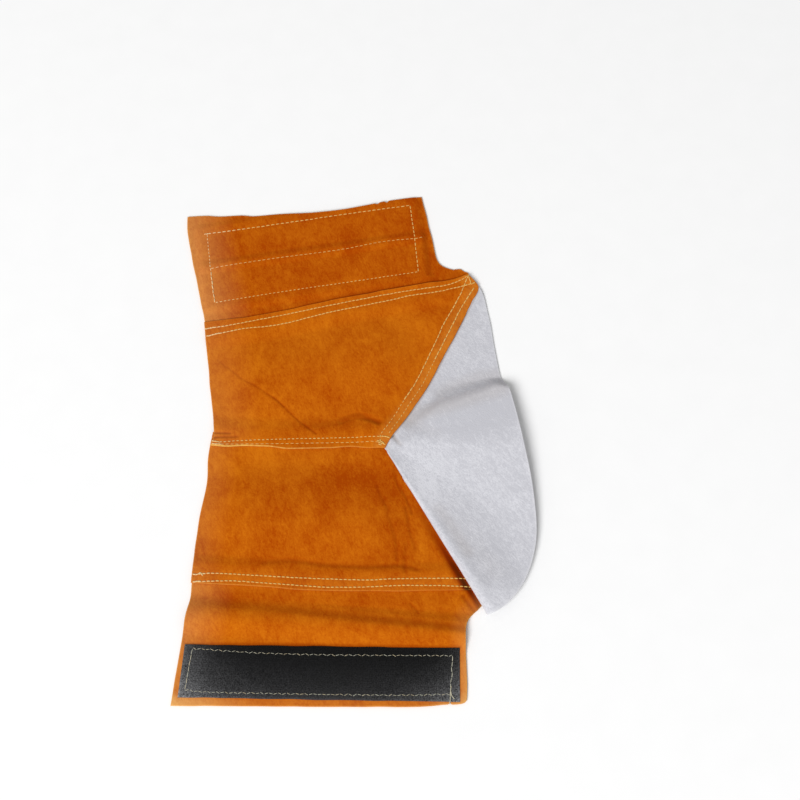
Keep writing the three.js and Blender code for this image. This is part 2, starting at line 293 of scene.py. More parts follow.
# Rows of stitches: for each thread the piece that it lies on, and for each row how the stitches lie and
# points along it.
SEWN_ROWS = {
    "loop_back_seam_thread": ("quarter_loop", [
        ("tight", [
            (-126, 91.2), (-108, 94.2), (-80, 100.2), (-46, 108), (-20, 114.3), (32, 125.7), (69, 132.3),
            (82, 134.6), (91.5, 137.9), (99.7, 143)]),
        ("tight", [
            (-124, 84.1), (-96, 90.8), (-74, 93.6), (-54, 97.6), (-20, 107.4), (32, 119.4), (48, 123.7),
            (69, 127.1), (91.5, 131.8), (106, 136.6)]),
        ("tack", [(-126.6, 91), (-118, 92.8)]),
        ("tack", [(-124.6, 84), (-113, 87)]),
    ]),
    "vamp_seam_thread": ("quarter_loop", [
        ("wide", [
            (100.6, 145), (99.2, 141), (93.8, 126.8), (86, 111.2), (77.2, 94.5), (73.4, 84.8), (55.5, 44),
            (44, 24.5)]),
        ("fine", [(44, 24.5), (35.2, 8.6), (24.8, -7.4)]),
        ("wide", [(105, 131.8), (98.6, 121.1), (91, 107), (82, 87.5), (70, 62)]),
        ("fine", [(70, 62), (59.5, 39), (48, 20), (41.2, 8.6), (31.3, -7)]),
        ("tack", [(100.4, 142.6), (101.6, 138.2), (102.4, 134.8), (106, 137)]),
    ]),
    "front_seam_thread": ("quarter_loop", [
        ("small", [(-108, -14), (-92, -12.8), (-61, -11.4), (-19, -10.3), (23, -9.4), (31.4, -10)]),
        ("faint", [
            (-107, -15.8), (-81, -15.6), (-40, -15), (2, -14), (17, -13.6), (23, -14.3), (27.5, -16.6)]),
        ("tack", [(25.5, -9.1), (32, -10.4)]),
        ("tack", [(22.6, -14.4), (28.6, -16.6)]),
        ("small", [(24.8, -7.4), (24.2, -11.6), (25.6, -17.4)]),
        ("tack", [(21.6, -13), (25.2, -14), (27.6, -16.4)]),
        ("tack", [(22.8, -16.2), (25.4, -16.9)]),
        ("tack", [(-113.5, -13), (-107, -14)]),
        ("tack", [(-113.5, -15.6), (-105.5, -15.8)]),
    ]),
    "hook_back_seam_thread": ("quarter_hook", [
        ("neat", [
            (-121, -126), (-105, -125), (-77, -126.5), (-31, -129), (14, -130.5), (32, -129.6), (77, -129),
            (93, -129.5)]),
        ("neat", [
            (-120.5, -132), (-91, -131.2), (-55, -133.5), (-16, -136.2), (14, -136), (41, -134.8),
            (76, -135), (97, -136)]),
        ("tack", [(-121, -126), (-117.5, -126), (-115, -124.6), (-113.3, -127)]),
        ("tack", [(-120.5, -132), (-114.5, -131.4)]),
    ]),
    "loop_border_thread": ("closure_loop", [
        ("border", [(-131, 187), (-76, 196), (-13, 207), (49.5, 217.5)]),
        ("border", [(49.5, 217.5), (53.5, 182), (56.5, 148)]),
        ("fine", [(56.5, 148), (15, 141), (-55, 129), (-119.5, 117)]),
        ("fine", [(-131, 187), (-127, 161), (-125, 148)]),
        ("double", [(-125, 148), (-122.5, 133), (-119.5, 117)]),
        ("faint", [
            (-125.5, 150.5), (-108, 154.2), (-63, 162), (-12.5, 170), (24, 178), (54, 181.5), (61, 183.5)]),
        ("tack", [(-133.2, 186.4), (-129.6, 187.4)]),
    ]),
    "hook_border_thread": ("hook_tape", [
        ("slant", [(-117, -184), (-64, -187.6), (-15, -188.9), (80.5, -189.6)]),
        ("long", [
            (80, -189.6), (80.3, -192.9), (79.4, -198.6), (79.9, -203), (79, -208), (78.5, -213.6),
            (78.2, -218.5)]),
        ("slant", [
            (78, -218.5), (41, -219.2), (-14, -218.6), (-63, -217.8), (-106, -216.8), (-120.5, -215)]),
        ("long", [(-120.5, -215), (-119, -199), (-117, -184)]),
        ("knot", [(78.8, -212.5), (78.3, -218.5)]),
    ]),
}
# How stitches lie: pitch, the share of it that shows, sideways slant, rise above the surface, share of the
# thread's thickness, and how dull and dusty the thread is.
STITCH_COLUMNS = ("pitch", "shown", "slant", "rise", "thick", "dull")
STITCH_WAYS = {
    "neat": (3.45, 0.77, 0.0, 0.22, 1, 0),
    "tight": (3.35, 0.86, 0.0, 0.22, 0.94, 0),
    "wide": (4.55, 0.88, 0.0, 0.24, 1.1, 0),
    "border": (4.36, 0.7, 0.0, 0.22, 0.86, 0),
    "small": (3.5, 0.6, 0.0, 0.18, 0.82, 0),
    "faint": (4.15, 0.66, 0.0, 0.12, 0.56, 0),
    "fine": (3.6, 0.6, 0.0, 0.12, 0.68, 0),
    "double": (4.6, 0.88, 0.12, 0.3, 0.98, 0),
    "tack": (2.4, 1.15, 0.1, 0.34, 1, 0),
    "slant": (3.3, 0.84, 0.5, 0.22, 0.35, 1),
    "long": (4.2, 0.95, 0.08, 0.25, 0.53, 1),
    "knot": (2.4, 1.15, 0.1, 0.4, 0.68, 0.9),
}
GROOVED_WAYS = ("neat", "tight", "wide", "border", "small", "faint", "fine")  # rows that draw the leather in
# Loose ends of the thread at the corner of the hook tape.
THREAD_TAILS = (
    [(78.6, -213.5), (78.2, -218), (78, -222), (77.6, -226)],
    [(78.5, -216.5), (79.2, -219.6), (81, -222)],
)


class SpatLeather(PropertyGroup):
    """The hide that the panels and the vamp are cut from."""

    panel_thickness: FloatProperty(
        name="Panel thickness", description="Split leather of the quarters and closures",
        default=1.4 * MM, unit="LENGTH", precision=4)
    vamp_thickness: FloatProperty(
        name="Vamp thickness", description="Softer split leather of the vamp",
        default=1.3 * MM, unit="LENGTH", precision=4)
    edge_round: FloatProperty(
        name="Edge rounding", description="How far the cut edges are rounded over",
        default=0.45 * MM, unit="LENGTH", precision=5)
    cell: FloatProperty(
        name="Cell", description="Spacing of the points on the leather",
        default=1.1 * MM, unit="LENGTH", precision=4)
    suede_light: FloatVectorProperty(
        name="Golden suede, light", description="Colour of the golden suede where its nap lies light",
        default=(0.612, 0.160, 0.0045), size=3, min=0, max=1, subtype="COLOR")
    suede_dark: FloatVectorProperty(
        name="Golden suede, dark", description="Colour of the golden suede where its nap lies dark",
        default=(0.388, 0.055, 0.0003), size=3, min=0, max=1, subtype="COLOR")
    # Also the painted haze along the left edges.
    suede_faded: FloatVectorProperty(
        name="Golden suede, faded", description="Colour of the golden suede that is rubbed pale",
        default=(0.78, 0.39, 0.12), size=3, min=0, max=1, subtype="COLOR")
    # Painted shade: the colour of the golden suede in a crease, and the darker colour deep in a gap.
    suede_crease_shade: FloatVectorProperty(
        name="Golden suede, crease", description="Colour of the golden suede in a crease",
        default=(0.27, 0.029, 0.0002), size=3, min=0, max=1, subtype="COLOR")
    suede_deep_shade: FloatVectorProperty(
        name="Golden suede, deep crease", description="Colour of the golden suede deep in a crease",
        default=(0.035, 0.007, 0.001), size=3, min=0, max=1, subtype="COLOR")
    core: FloatVectorProperty(
        name="Golden core", description="Colour of the golden hide's core at a cut edge",
        default=(0.80, 0.53, 0.13), size=3, min=0, max=1, subtype="COLOR")
    grey_light: FloatVectorProperty(
        name="Grey suede, light", description="Colour of the vamp where its nap lies light",
        default=(0.66, 0.66, 0.70), size=3, min=0, max=1, subtype="COLOR")
    grey_dark: FloatVectorProperty(
        name="Grey suede, dark", description="Colour of the vamp where its nap lies dark",
        default=(0.53, 0.53, 0.57), size=3, min=0, max=1, subtype="COLOR")
    # Painted shade: the colour of the vamp in a crease, and the darker colour deep in a gap.
    grey_crease_shade: FloatVectorProperty(
        name="Grey suede, crease", description="Colour of the vamp in a crease",
        default=(0.41, 0.37, 0.35), size=3, min=0, max=1, subtype="COLOR")
    grey_deep_shade: FloatVectorProperty(
        name="Grey suede, deep crease", description="Colour of the vamp deep in a crease",
        default=(0.14, 0.12, 0.11), size=3, min=0, max=1, subtype="COLOR")
    grey_core: FloatVectorProperty(
        name="Grey core", description="Colour of the vamp's core at a cut edge",
        default=(0.74, 0.74, 0.76), size=3, min=0, max=1, subtype="COLOR")


class SpatTape(PropertyGroup):
    """Hook and loop tape."""

    base_thickness: FloatProperty(
        name="Base thickness", description="Woven base of the hook tape",
        default=0.7 * MM, unit="LENGTH", precision=5)
    pile_thickness: FloatProperty(
        name="Loop tape thickness", description="Base and pile of the loop tape",
        default=1.2 * MM, unit="LENGTH", precision=4)
    hook_height: FloatProperty(
        name="Hook height", description="Height of a hook above the base",
        default=0.9 * MM, unit="LENGTH", precision=5)
    hook_spacing: FloatProperty(
        name="Hook spacing", description="Distance from one hook to the next",
        default=1.75 * MM, unit="LENGTH", precision=4)
    black: FloatVectorProperty(
        name="Black", description="Colour of the tape's yarn",
        default=(0.006, 0.006, 0.0063), size=3, min=0, max=1, subtype="COLOR")
    # Painted haze of light on the tape's near edge and ends, broken up by lint.
    lint_and_haze: FloatVectorProperty(
        name="Worn black", description="Colour of the tape where lint and wear make it pale",
        default=(0.30, 0.30, 0.31), size=3, min=0, max=1, subtype="COLOR")


class SpatThread(PropertyGroup):
    """Sewing thread."""

    diameter: FloatProperty(
        name="Thread diameter", description="Thickness of the sewing thread",
        default=0.95 * MM, unit="LENGTH", precision=5)
    # Painted light and shade of the twist: the crown of each ply lit, the groove between the plies shaded.
    light: FloatVectorProperty(
        name="Thread, light", description="Colour of the thread on the crown of its ply",
        default=(0.76, 0.49, 0.145), size=3, min=0, max=1, subtype="COLOR")
    dark: FloatVectorProperty(
        name="Thread, dark", description="Colour of the thread between its plies",
        default=(0.56, 0.31, 0.07), size=3, min=0, max=1, subtype="COLOR")
    faded: FloatVectorProperty(
        name="Thread, faded", description="Colour of the thread where it is rubbed pale",
        default=(0.83, 0.62, 0.36), size=3, min=0, max=1, subtype="COLOR")
    dull: FloatVectorProperty(
        name="Thread, dull", description="Colour of the thread where the tape's lint covers it",
        default=(0.50, 0.49, 0.39), size=3, min=0, max=1, subtype="COLOR")


class SpatStage(PropertyGroup):
    """Floor, light and camera."""

    floor_colour: FloatVectorProperty(
        name="Floor", description="Colour of the floor",
        default=(0.96, 0.96, 0.96), size=3, min=0, max=1, subtype="COLOR")
    key_power: FloatProperty(
        name="Key power", description="Power of the soft light from the front", default=570, unit="POWER")
    sky: FloatProperty(
        name="Sky", description="Strength of the even light from all round", default=0.45)
    target: FloatVectorProperty(
        name="Target", description="Point that the camera looks at",
        default=(40.5 * MM, 25.5 * MM, 0), size=3, subtype="TRANSLATION")
    distance: FloatProperty(
        name="Camera distance", description="From the camera to its target", default=1.0121, unit="LENGTH")
    elevation: FloatProperty(
        name="Camera elevation", description="Angle of the camera above the floor",
        default=math.radians(65), subtype="ANGLE")
    lens: FloatProperty(
        name="Lens", description="Focal length on a 36 mm sensor", default=54.56, unit="CAMERA")


# Curves and distances

SPLINE_STEPS = 24  # points on each span of a curve when its length is measured
OUTLINE_POINTS = 40  # points on a smooth line, such as one side of an outline


def smooth_step(value, start, stop):
    share = np.clip((value - start) / (stop - start), 0, 1)
    return share * share * (3 - 2 * share)


def mound(away):
    """A smooth rise, from nothing where away is 1 to 1 where it is 0."""
    return np.clip(1 - away**2, 0, 1) ** 2


def unit(vectors):
    return vectors / np.maximum(np.linalg.norm(vectors, axis=-1, keepdims=True), 1e-12)


def walked_along(line):
    """Distance walked along a line to each of its points."""
    return np.concatenate(([0], np.cumsum(np.linalg.norm(np.diff(line, axis=0), axis=1))))


def curve_points(points, at, centripetal=False):
    """Points of a smooth curve through the given ones, which at counts from 0."""
    knots = np.asarray(points, float)
    first, last = knots[0], knots[-1]
    if centripetal:
        first, last = 2 * knots[0] - knots[1], 2 * knots[-1] - knots[-2]
    padded = np.vstack((first, knots, last))
    gaps = np.ones(len(knots) + 1)
    if centripetal:
        gaps = np.linalg.norm(np.diff(padded, axis=0), axis=1) ** 0.5
    span = np.minimum(np.asarray(at).astype(int), len(knots) - 2)
    w = (np.asarray(at) - span)[..., None]
    p0, p1, p2, p3 = (padded[span + k] for k in range(4))
    d0, d1, d2 = (gaps[span + k][..., None] for k in range(3))
    leaving = ((p1 - p0) / d0 - (p2 - p0) / (d0 + d1) + (p2 - p1) / d1) * d1
    arriving = ((p2 - p1) / d1 - (p3 - p1) / (d1 + d2) + (p3 - p2) / d2) * d1
    square = 3 * (p2 - p1) - 2 * leaving - arriving
    cube = 2 * (p1 - p2) + leaving + arriving
    return p1 + w * (leaving + w * (square + w * cube))


def even_points(points, shares):
    """Points at shares of the length of the smooth curve through the given ones, and that length."""
    fine = curve_points(points, np.linspace(0, len(points) - 1, (len(points) - 1) * SPLINE_STEPS + 1))
    walked = walked_along(fine)
    at = np.asarray(shares) * walked[-1]
    placed = np.stack([np.interp(at, walked, fine[:, axis]) for axis in range(fine.shape[1])], axis=-1)
    return placed, walked[-1]


def smooth_line(points):
    """Even steps along the smooth curve through the given points."""
    return even_points(points, np.linspace(0, 1, OUTLINE_POINTS))[0]


def nearest_on_line(x, y, line):
    """Distance from points to a line of straight runs, and the share of its length where it is nearest."""
    line = np.asarray(line, float)
    start, run = line[:-1], np.diff(line, axis=0)
    lengths = np.maximum(np.linalg.norm(run, axis=1), 1e-9)
    walked = np.concatenate(([0], np.cumsum(lengths)))
    nearest = np.full(x.shape, np.inf)
    share = np.zeros(x.shape)
    for (x0, y0), (dx, dy), length, before in zip(start, run, lengths, walked):
        along = np.clip(((x - x0) * dx + (y - y0) * dy) / length**2, 0, 1)
        away = np.hypot(x - x0 - along * dx, y - y0 - along * dy)
        closer = away < nearest
        nearest = np.where(closer, away, nearest)
        share = np.where(closer, (before + along * length) / walked[-1], share)
    return nearest, share


def distance_outside(x, y, outline):
    """How far points lie outside a closed outline: 0 inside it."""
    inside = np.zeros(x.shape, bool)
    for (x0, y0), (x1, y1) in zip(outline, np.roll(outline, -1, axis=0)):
        if y0 != y1:
            crosses = (y0 > y) != (y1 > y)
            inside ^= crosses & (x < x0 + (x1 - x0) * (y - y0) / (y1 - y0))
    away, _ = nearest_on_line(x, y, np.vstack((outline, outline[:1])))
    return np.where(inside, 0, away)


NOISE_CELLS = 64  # lumps both ways before the noise repeats


def soft_noise(x, y, size, seed):
    """Smooth lumps of about the given size, from -1 to 1."""
    lattice = np.random.default_rng(seed).uniform(-1, 1, (NOISE_CELLS, NOISE_CELLS))
    cell_x, cell_y = np.floor(x / size), np.floor(y / size)
    wx, wy = x / size - cell_x, y / size - cell_y
    wx, wy = (w * w * (3 - 2 * w) for w in (wx, wy))
    i, j = (cell.astype(int) % NOISE_CELLS for cell in (cell_x, cell_y))
    i1, j1 = (i + 1) % NOISE_CELLS, (j + 1) % NOISE_CELLS
    low = lattice[i, j] * (1 - wx) + lattice[i1, j] * wx
    high = lattice[i, j1] * (1 - wx) + lattice[i1, j1] * wx
    return low * (1 - wy) + high * wy


# Lie of the leather

SEAT_GAP = 0.08  # air between one layer and the next
OVERLAP_MARGIN = 0.8  # a layer stays lifted this far past the edge of what it covers
OVERLAP_RAMP = 7.5  # and comes down over this distance
# Pieces that are stiffer come down over a longer distance.
OVERLAP_RAMPS = {"vamp": 30, "quarter_hook": 10, "quarter_loop": 14}
STITCH_GROOVE = (1.7, 0.28)  # half width and depth of the groove that a tight row draws
WAVES = ((46, 0.55, 11), (19, 0.2, 12), (7.5, 0.07, 13))  # size, height and seed of the leather's waves


def named(columns, row):
    return dict(zip(columns, row))


def rows_of(columns, table):
    """The rows of a table, with their columns named."""
    return [named(columns, row) for row in table.values()]


def tape_of(name):
    return named(TAPE_COLUMNS, TAPES[name])


def sewn_rows():
    """Each row of stitches: the piece that it lies on, how its stitches lie, and its points."""
    for surface, rows in SEWN_ROWS.values():
        for way, points in rows:
            yield surface, way, points


def tape_points(name, along, across):
    """Turns places along and across a tape into the frame."""
    tape = tape_of(name)
    along = along + tape["cut_back"] * (0.5 - along / tape["length"]) * (0.5 + across / tape["width"])
    turn = math.radians(tape["turn"])
    x = tape["x"] + along * math.cos(turn) - across * math.sin(turn)
    return x, tape["y"] + along * math.sin(turn) + across * math.cos(turn)


def tape_corner_points(name):
    tape = tape_of(name)
    along, across = np.array([(-1, 1, 1, -1), (-1, -1, 1, 1)]) / 2
    return np.column_stack(tape_points(name, along * tape["length"], across * tape["width"]))


def side_line(name, side):
    return smooth_line(PANELS[name][side])


def outline_of(name):
    if name in TAPES:
        return tape_corner_points(name)
    if name == "vamp":
        shown = list(VAMP_SECTIONS)[:list(VAMP_SECTIONS).index("fold") + 1]
        rows = [named(VAMP_COLUMNS, VAMP_SECTIONS[key]) for key in shown]
        tips = [(row["tip_x"], row["tip_y"]) for row in rows]
        return np.array(tips + [(row["root_x"], row["root_y"]) for row in reversed(rows)], float)
    near, far, left, right = (side_line(name, side) for side in SIDES)
    return np.vstack((near, right[1:], far[::-1][1:], left[::-1][1:-1]))


def thickness_of(name):
    """Thickness of a piece in millimetres."""
    leather, tape = bpy.context.scene.spat_leather, bpy.context.scene.spat_tape
    if name == "hook_tape":
        return tape.base_thickness / MM
    if name in TAPES:
        return tape.pile_thickness / MM
    return (leather.vamp_thickness if name == "vamp" else leather.panel_thickness) / MM


def crease_profile(x, y, crease):
    """Share of a crease's depth at each point."""
    away, share = nearest_on_line(x, y, smooth_line(crease["points"]))
    return mound(away / crease["half_width"]) * (crease["start"] + (crease["stop"] - crease["start"]) * share)


def relief(name, x, y):
    """Height of the folds, waves, creases and sewn grooves of a piece and of all that lies on it."""
    level = LAY_ORDER.index(name)
    height = np.zeros(x.shape)
    for fold in rows_of(FOLD_COLUMNS, FOLDS):
        away, _ = nearest_on_line(x, y, [(fold["x1"], fold["y1"]), (fold["x2"], fold["y2"])])
        height += fold["height"] * mound(away / fold["half_width"])
    for size, rise, seed in WAVES:
        height += rise * (1 + soft_noise(x, y, size, seed)) / 2
    for piece, rows in CREASES.items():
        if LAY_ORDER.index(piece) >= level:
            for crease in rows_of(CREASE_COLUMNS, rows):
                height -= crease["depth"] * crease_profile(x, y, crease)
    half_width, depth = STITCH_GROOVE
    groove = np.zeros(x.shape)
    for surface, way, points in sewn_rows():
        if way in GROOVED_WAYS and LAY_ORDER.index(surface) >= level:
            away, _ = nearest_on_line(x, y, smooth_line(points))
            groove = np.maximum(groove, mound(away / half_width))
    return height - depth * groove


def seat_height(name, x, y):
    """Height of the underside of a piece: on the leather's folds, over every layer that it covers."""
    height = relief(name, x, y)
    reach = OVERLAP_MARGIN + OVERLAP_RAMPS.get(name, OVERLAP_RAMP)
    for below in LAY_ORDER[:LAY_ORDER.index(name)]:
        outline = outline_of(below)
        low, high = outline.min(0) - reach, outline.max(0) + reach
        close = (x > low[0]) & (x < high[0]) & (y > low[1]) & (y < high[1])
        if close.any():
            past = distance_outside(x[close], y[close], outline)
            down = smooth_step(past, OVERLAP_MARGIN, reach)
            height[close] += (thickness_of(below) + SEAT_GAP) * (1 - down)
    return np.maximum(height, 0)


def top_height(name, x, y):
    return seat_height(name, x, y) + thickness_of(name)


def laid(name, x, y, lift=0):
    """Middle points of a piece that is laid over what is under it."""
    return np.stack((x, y, seat_height(name, x, y) + lift + thickness_of(name) / 2), axis=-1)


# Meshes

# Rounded section of a cut edge: shares of the rounding outwards and of half the thickness upwards.
RIM_SECTION = ((0.7, 0.88), (1, 0.5), (1, -0.5), (0.7, -0.88))


def mesh_object(name, vertices, faces, attributes, material):
    """A smooth mesh object from points in millimetres, with a number for each point in each attribute."""
    if not np.isfinite(vertices).all():
        raise ValueError(f"{name} has a point that isn't a number")
    mesh = bpy.data.meshes.new(name)
    mesh.from_pydata((vertices * MM).tolist(), [], [list(face) for face in faces])
    for key, values in attributes.items():
        mesh.attributes.new(key, "FLOAT", "POINT").data.foreach_set("value", np.asarray(values, np.float32))
    mesh.materials.append(material)
    mesh.shade_smooth()
    mesh.update()
    made = bpy.data.objects.new(name, mesh)
    bpy.context.collection.objects.link(made)
    return made


def wall(name, middle, thickness, attributes, material):
    """A closed wall of even thickness round a grid of middle points, with rounded cut edges."""
    rows, columns = middle.shape[:2]
    normal = unit(np.cross(np.gradient(middle, axis=1), np.gradient(middle, axis=0)))
    index = np.arange(rows * columns).reshape(rows, columns)
    rim = np.concatenate((index[0, :-1], index[:-1, -1], index[-1, :0:-1], index[:0:-1, 0]))
    middle, normal = middle.reshape(-1, 3).copy(), normal.reshape(-1, 3)
    tangent = np.roll(middle[rim], -1, axis=0) - np.roll(middle[rim], 1, axis=0)
    outward = unit(np.cross(tangent, normal[rim]))
    edge_round = bpy.context.scene.spat_leather.edge_round / MM
    middle[rim] -= outward * edge_round
    half = normal * thickness / 2
    rings = [middle[rim] + outward * edge_round * out + half[rim] * up for out, up in RIM_SECTION]
    vertices = np.vstack([middle + half, middle - half] + rings)
    vertices[:, 2] = np.maximum(vertices[:, 2], 0)

    a, b, c, d = index[:-1, :-1], index[:-1, 1:], index[1:, 1:], index[1:, :-1]
    top = np.stack((a, b, c, d), axis=-1).reshape(-1, 4)
    under = rows * columns
    between = [2 * under + ring * len(rim) + np.arange(len(rim)) for ring in range(len(rings))]
    loops = [rim] + between + [under + rim]
    strips = [np.stack((high, low, np.roll(low, -1), np.roll(high, -1)), axis=-1)
              for high, low in zip(loops, loops[1:])]
    faces = np.vstack([top, under + top[:, ::-1]] + strips)
    spread = {key: np.concatenate([values.ravel()] * 2 + [values.ravel()[rim]] * len(rings))
              for key, values in attributes.items()}
    return mesh_object(name, vertices, faces.tolist(), spread, material)


def tubes(name, lines, radii, sides, material, values, across=(0, 0, 1)):
    """Closed tubes along lines of points, joined into one mesh. values holds a number for each tube."""
    angles = np.arange(sides) * 2 * math.pi / sides
    cosine, sine = np.cos(angles)[None, :, None], np.sin(angles)[None, :, None]
    vertices, faces, along = [], [], []
    first = 0
    for line, radius in zip(lines, radii):
        count = len(line)
        ahead = unit(np.gradient(line, axis=0))
        aside = unit(np.cross(ahead, across))
        upward = np.cross(aside, ahead)
        ring = cosine * aside[:, None] + sine * upward[:, None]
        vertices.append((line[:, None] + ring * radius[:, None, None]).reshape(-1, 3))
        along.append(np.repeat(walked_along(line), sides) + np.tile(angles / (2 * math.pi), count))
        at = first + np.arange(count * sides).reshape(count, sides)
        turned = np.roll(at, -1, axis=1)
        faces += np.stack((at[:-1], turned[:-1], turned[1:], at[1:]), axis=-1).reshape(-1, 4).tolist()
        faces += [at[0, ::-1].tolist(), at[-1].tolist()]
        first += count * sides
    attributes = {key: np.repeat(each, [len(part) for part in vertices]) for key, each in values.items()}
    attributes["ply"] = np.concatenate(along)
    return mesh_object(name, np.vstack(vertices), faces, attributes, material)


# Materials


def node(tree, kind, inputs=None, **settings):
    """Adds a node with its settings, and with its inputs set to values or linked to sockets."""
    made = tree.nodes.new(kind)
    for key, value in settings.items():
        setattr(made, key, value)
    for key, value in (inputs or {}).items():
        if isinstance(value, NodeSocket):
            tree.links.new(value, made.inputs[key])
        else:
            made.inputs[key].default_value = value
    return made


def mixed(tree, factor, first, second, blend="MIX"):
    """Socket of a mix of two colours."""
    made = node(tree, "ShaderNodeMix", {0: factor, 6: first, 7: second}, data_type="RGBA", blend_type=blend)
    return made.outputs[2]


def ranged(tree, value, low, high, to_low, to_high):
    """Socket of a value that is moved from one range to another."""
    inputs = {"Value": value, "From Min": low, "From Max": high, "To Min": to_low, "To Max": to_high}
    return node(tree, "ShaderNodeMapRange", inputs).outputs[0]


def calculated(tree, operation, first, second):
    return node(tree, "ShaderNodeMath", {0: first, 1: second}, operation=operation).outputs[0]


def weighted_sum(tree, *parts):
    """Socket of a sum of sockets, each times its weight."""
    total = 0.0
    for value, weight in parts:
        total = calculated(tree, "ADD", calculated(tree, "MULTIPLY", value, weight), total)
    return total


def noise(tree, vector, scale, detail=2.0, roughness=0.5, distortion=0.0):
    """Socket of a noise pattern."""
    inputs = {"Vector": vector, "Scale": scale, "Detail": detail, "Roughness": roughness,
              "Distortion": distortion}
    return node(tree, "ShaderNodeTexNoise", inputs).outputs[0]


def drawn_out(tree, vector, share):
    """Socket of coordinates for a pattern that is drawn out along Y."""
    inputs = {0: vector, 1: (1.0, share, 1.0)}
    return node(tree, "ShaderNodeVectorMath", inputs, operation="MULTIPLY").outputs[0]


def attribute(tree, name):
    return node(tree, "ShaderNodeAttribute", attribute_name=name).outputs["Fac"]


def opaque(colour):
    return (*colour, 1)


def new_group(name, inputs, outputs):
    """An empty node group, and its nodes for input and output."""
    group = bpy.data.node_groups.new(name, "ShaderNodeTree")
    for label, kind, default in inputs:
        socket = group.interface.new_socket(label, in_out="INPUT", socket_type=kind)
        if default is not None:
            socket.default_value = default
    for label, kind in outputs:
        group.interface.new_socket(label, in_out="OUTPUT", socket_type=kind)
    return group, group.nodes.new("NodeGroupInput").outputs, group.nodes.new("NodeGroupOutput").inputs


def shared(kept, name, make):
    """A material or node group that is built once."""
    return kept.get(name) or make(name)


def suede_nap(name):
    """Fibres of suede: flecks for the colour, pits where tufts are missing, and a height for the bump."""
    group, given, put = new_group(
        name,
        [("Coordinates", "NodeSocketVector", None), ("Grain", "NodeSocketFloat", 900.0),
         ("Comb", "NodeSocketFloat", 0.6)],
        [("Fleck", "NodeSocketFloat"), ("Pits", "NodeSocketFloat"), ("Height", "NodeSocketFloat")])
    coordinates, fine = given["Coordinates"], given["Grain"]
    coarse, tufted = (calculated(group, "MULTIPLY", fine, share) for share in (0.28, 0.42))
    turned = node(group, "ShaderNodeVectorRotate", {"Vector": coordinates, "Angle": given["Comb"]},
                  rotation_type="Z_AXIS").outputs[0]
    combed = drawn_out(group, turned, 0.4)
    grain = noise(group, coordinates, fine, detail=4.0, roughness=0.62)
    fibres = noise(group, combed, fine, roughness=0.55, distortion=0.4)
    strands = noise(group, combed, coarse, detail=3.0, roughness=0.6, distortion=0.8)
    tufts = noise(group, coordinates, tufted, detail=1.0)
    group.links.new(weighted_sum(group, (grain, 0.32), (fibres, 0.32), (strands, 0.36)), put["Fleck"])
    group.links.new(ranged(group, tufts, 0.66, 0.74, 0.0, 1.0), put["Pits"])
    group.links.new(weighted_sum(group, (grain, 0.35), (fibres, 0.65)), put["Height"])
    return group


def hide_patches(name):
    """Cloudy patches where the nap lies lighter or darker, from 0 to 1."""
    group, given, put = new_group(
        name,
        [("Coordinates", "NodeSocketVector", None), ("Scale", "NodeSocketFloat", 30.0),
         ("Spread", "NodeSocketFloat", 1.0)],
        [("Patch", "NodeSocketFloat")])
    coordinates, scale = given["Coordinates"], given["Scale"]
    small_scale = calculated(group, "MULTIPLY", scale, 5.5)
    broad = noise(group, coordinates, scale, detail=3.0, roughness=0.55, distortion=0.7)
    drawn = drawn_out(group, coordinates, 0.5)
    small = noise(group, drawn, small_scale, detail=3.0, roughness=0.6, distortion=1.0)
    clouds = weighted_sum(group, (broad, 0.68), (small, 0.32))
    centred = calculated(group, "MULTIPLY", calculated(group, "SUBTRACT", clouds, 0.5), given["Spread"])
    group.links.new(calculated(group, "ADD", centred, 0.5), put["Patch"])
    return group


def raw_edge(name):
    """The pale core of the hide that shows along a cut edge."""
    group, given, put = new_group(
        name,
        [("Coordinates", "NodeSocketVector", None), ("Colour", "NodeSocketColor", None),
         ("Core", "NodeSocketColor", None)],
        [("Colour", "NodeSocketColor")])
    ragged = ranged(group, noise(group, given["Coordinates"], 420.0), 0.3, 0.6, 0.55, 1.0)
    amount = calculated(group, "MULTIPLY", attribute(group, "cut_edge"), ragged)
    group.links.new(mixed(group, amount, given["Colour"], given["Core"]), put["Colour"])
    return group


def new_material(name):
    """An empty material with its tree, its shader and its object coordinates."""
    material = bpy.data.materials.new(name)
    material.use_nodes = True
    tree = material.node_tree
    coordinates = node(tree, "ShaderNodeTexCoord").outputs["Object"]
    return material, tree, tree.nodes["Principled BSDF"], coordinates


def group_node(tree, make, **inputs):
    """Outputs of a shared node group with its inputs set."""
    group = shared(bpy.data.node_groups, make.__name__, make)
    return node(tree, "ShaderNodeGroup", inputs, node_tree=group).outputs


def link_surface(tree, shader, colour, roughness, height, specular, strength, distance):
    """Links a material's colour, roughness and bump to its shader, and sets how much it shines."""
    bumped = node(tree, "ShaderNodeBump", {"Strength": strength, "Distance": distance, "Height": height})
    tree.links.new(colour, shader.inputs["Base Color"])
    tree.links.new(roughness, shader.inputs["Roughness"])
    tree.links.new(bumped.outputs[0], shader.inputs["Normal"])
    shader.inputs["Specular IOR Level"].default_value = specular


# Looks of the suedes: scale and spread of their cloudy patches, scale and turn of their fibres, and
# strength of their flecks, pits and bump.
SUEDE_COLUMNS = ("patch_scale", "spread", "grain", "comb", "fleck", "pits", "bump")
SUEDES = {
    "suede_golden": (32.0, 1.8, 950.0, -0.4, 0.34, 0.12, 0.5),
    "suede_grey": (24.0, 1.25, 1250.0, -0.75, 0.9, 1.3, 0.75),
}
FLECK_RANGE = (0.36, 0.64)  # most flecks lie in this range


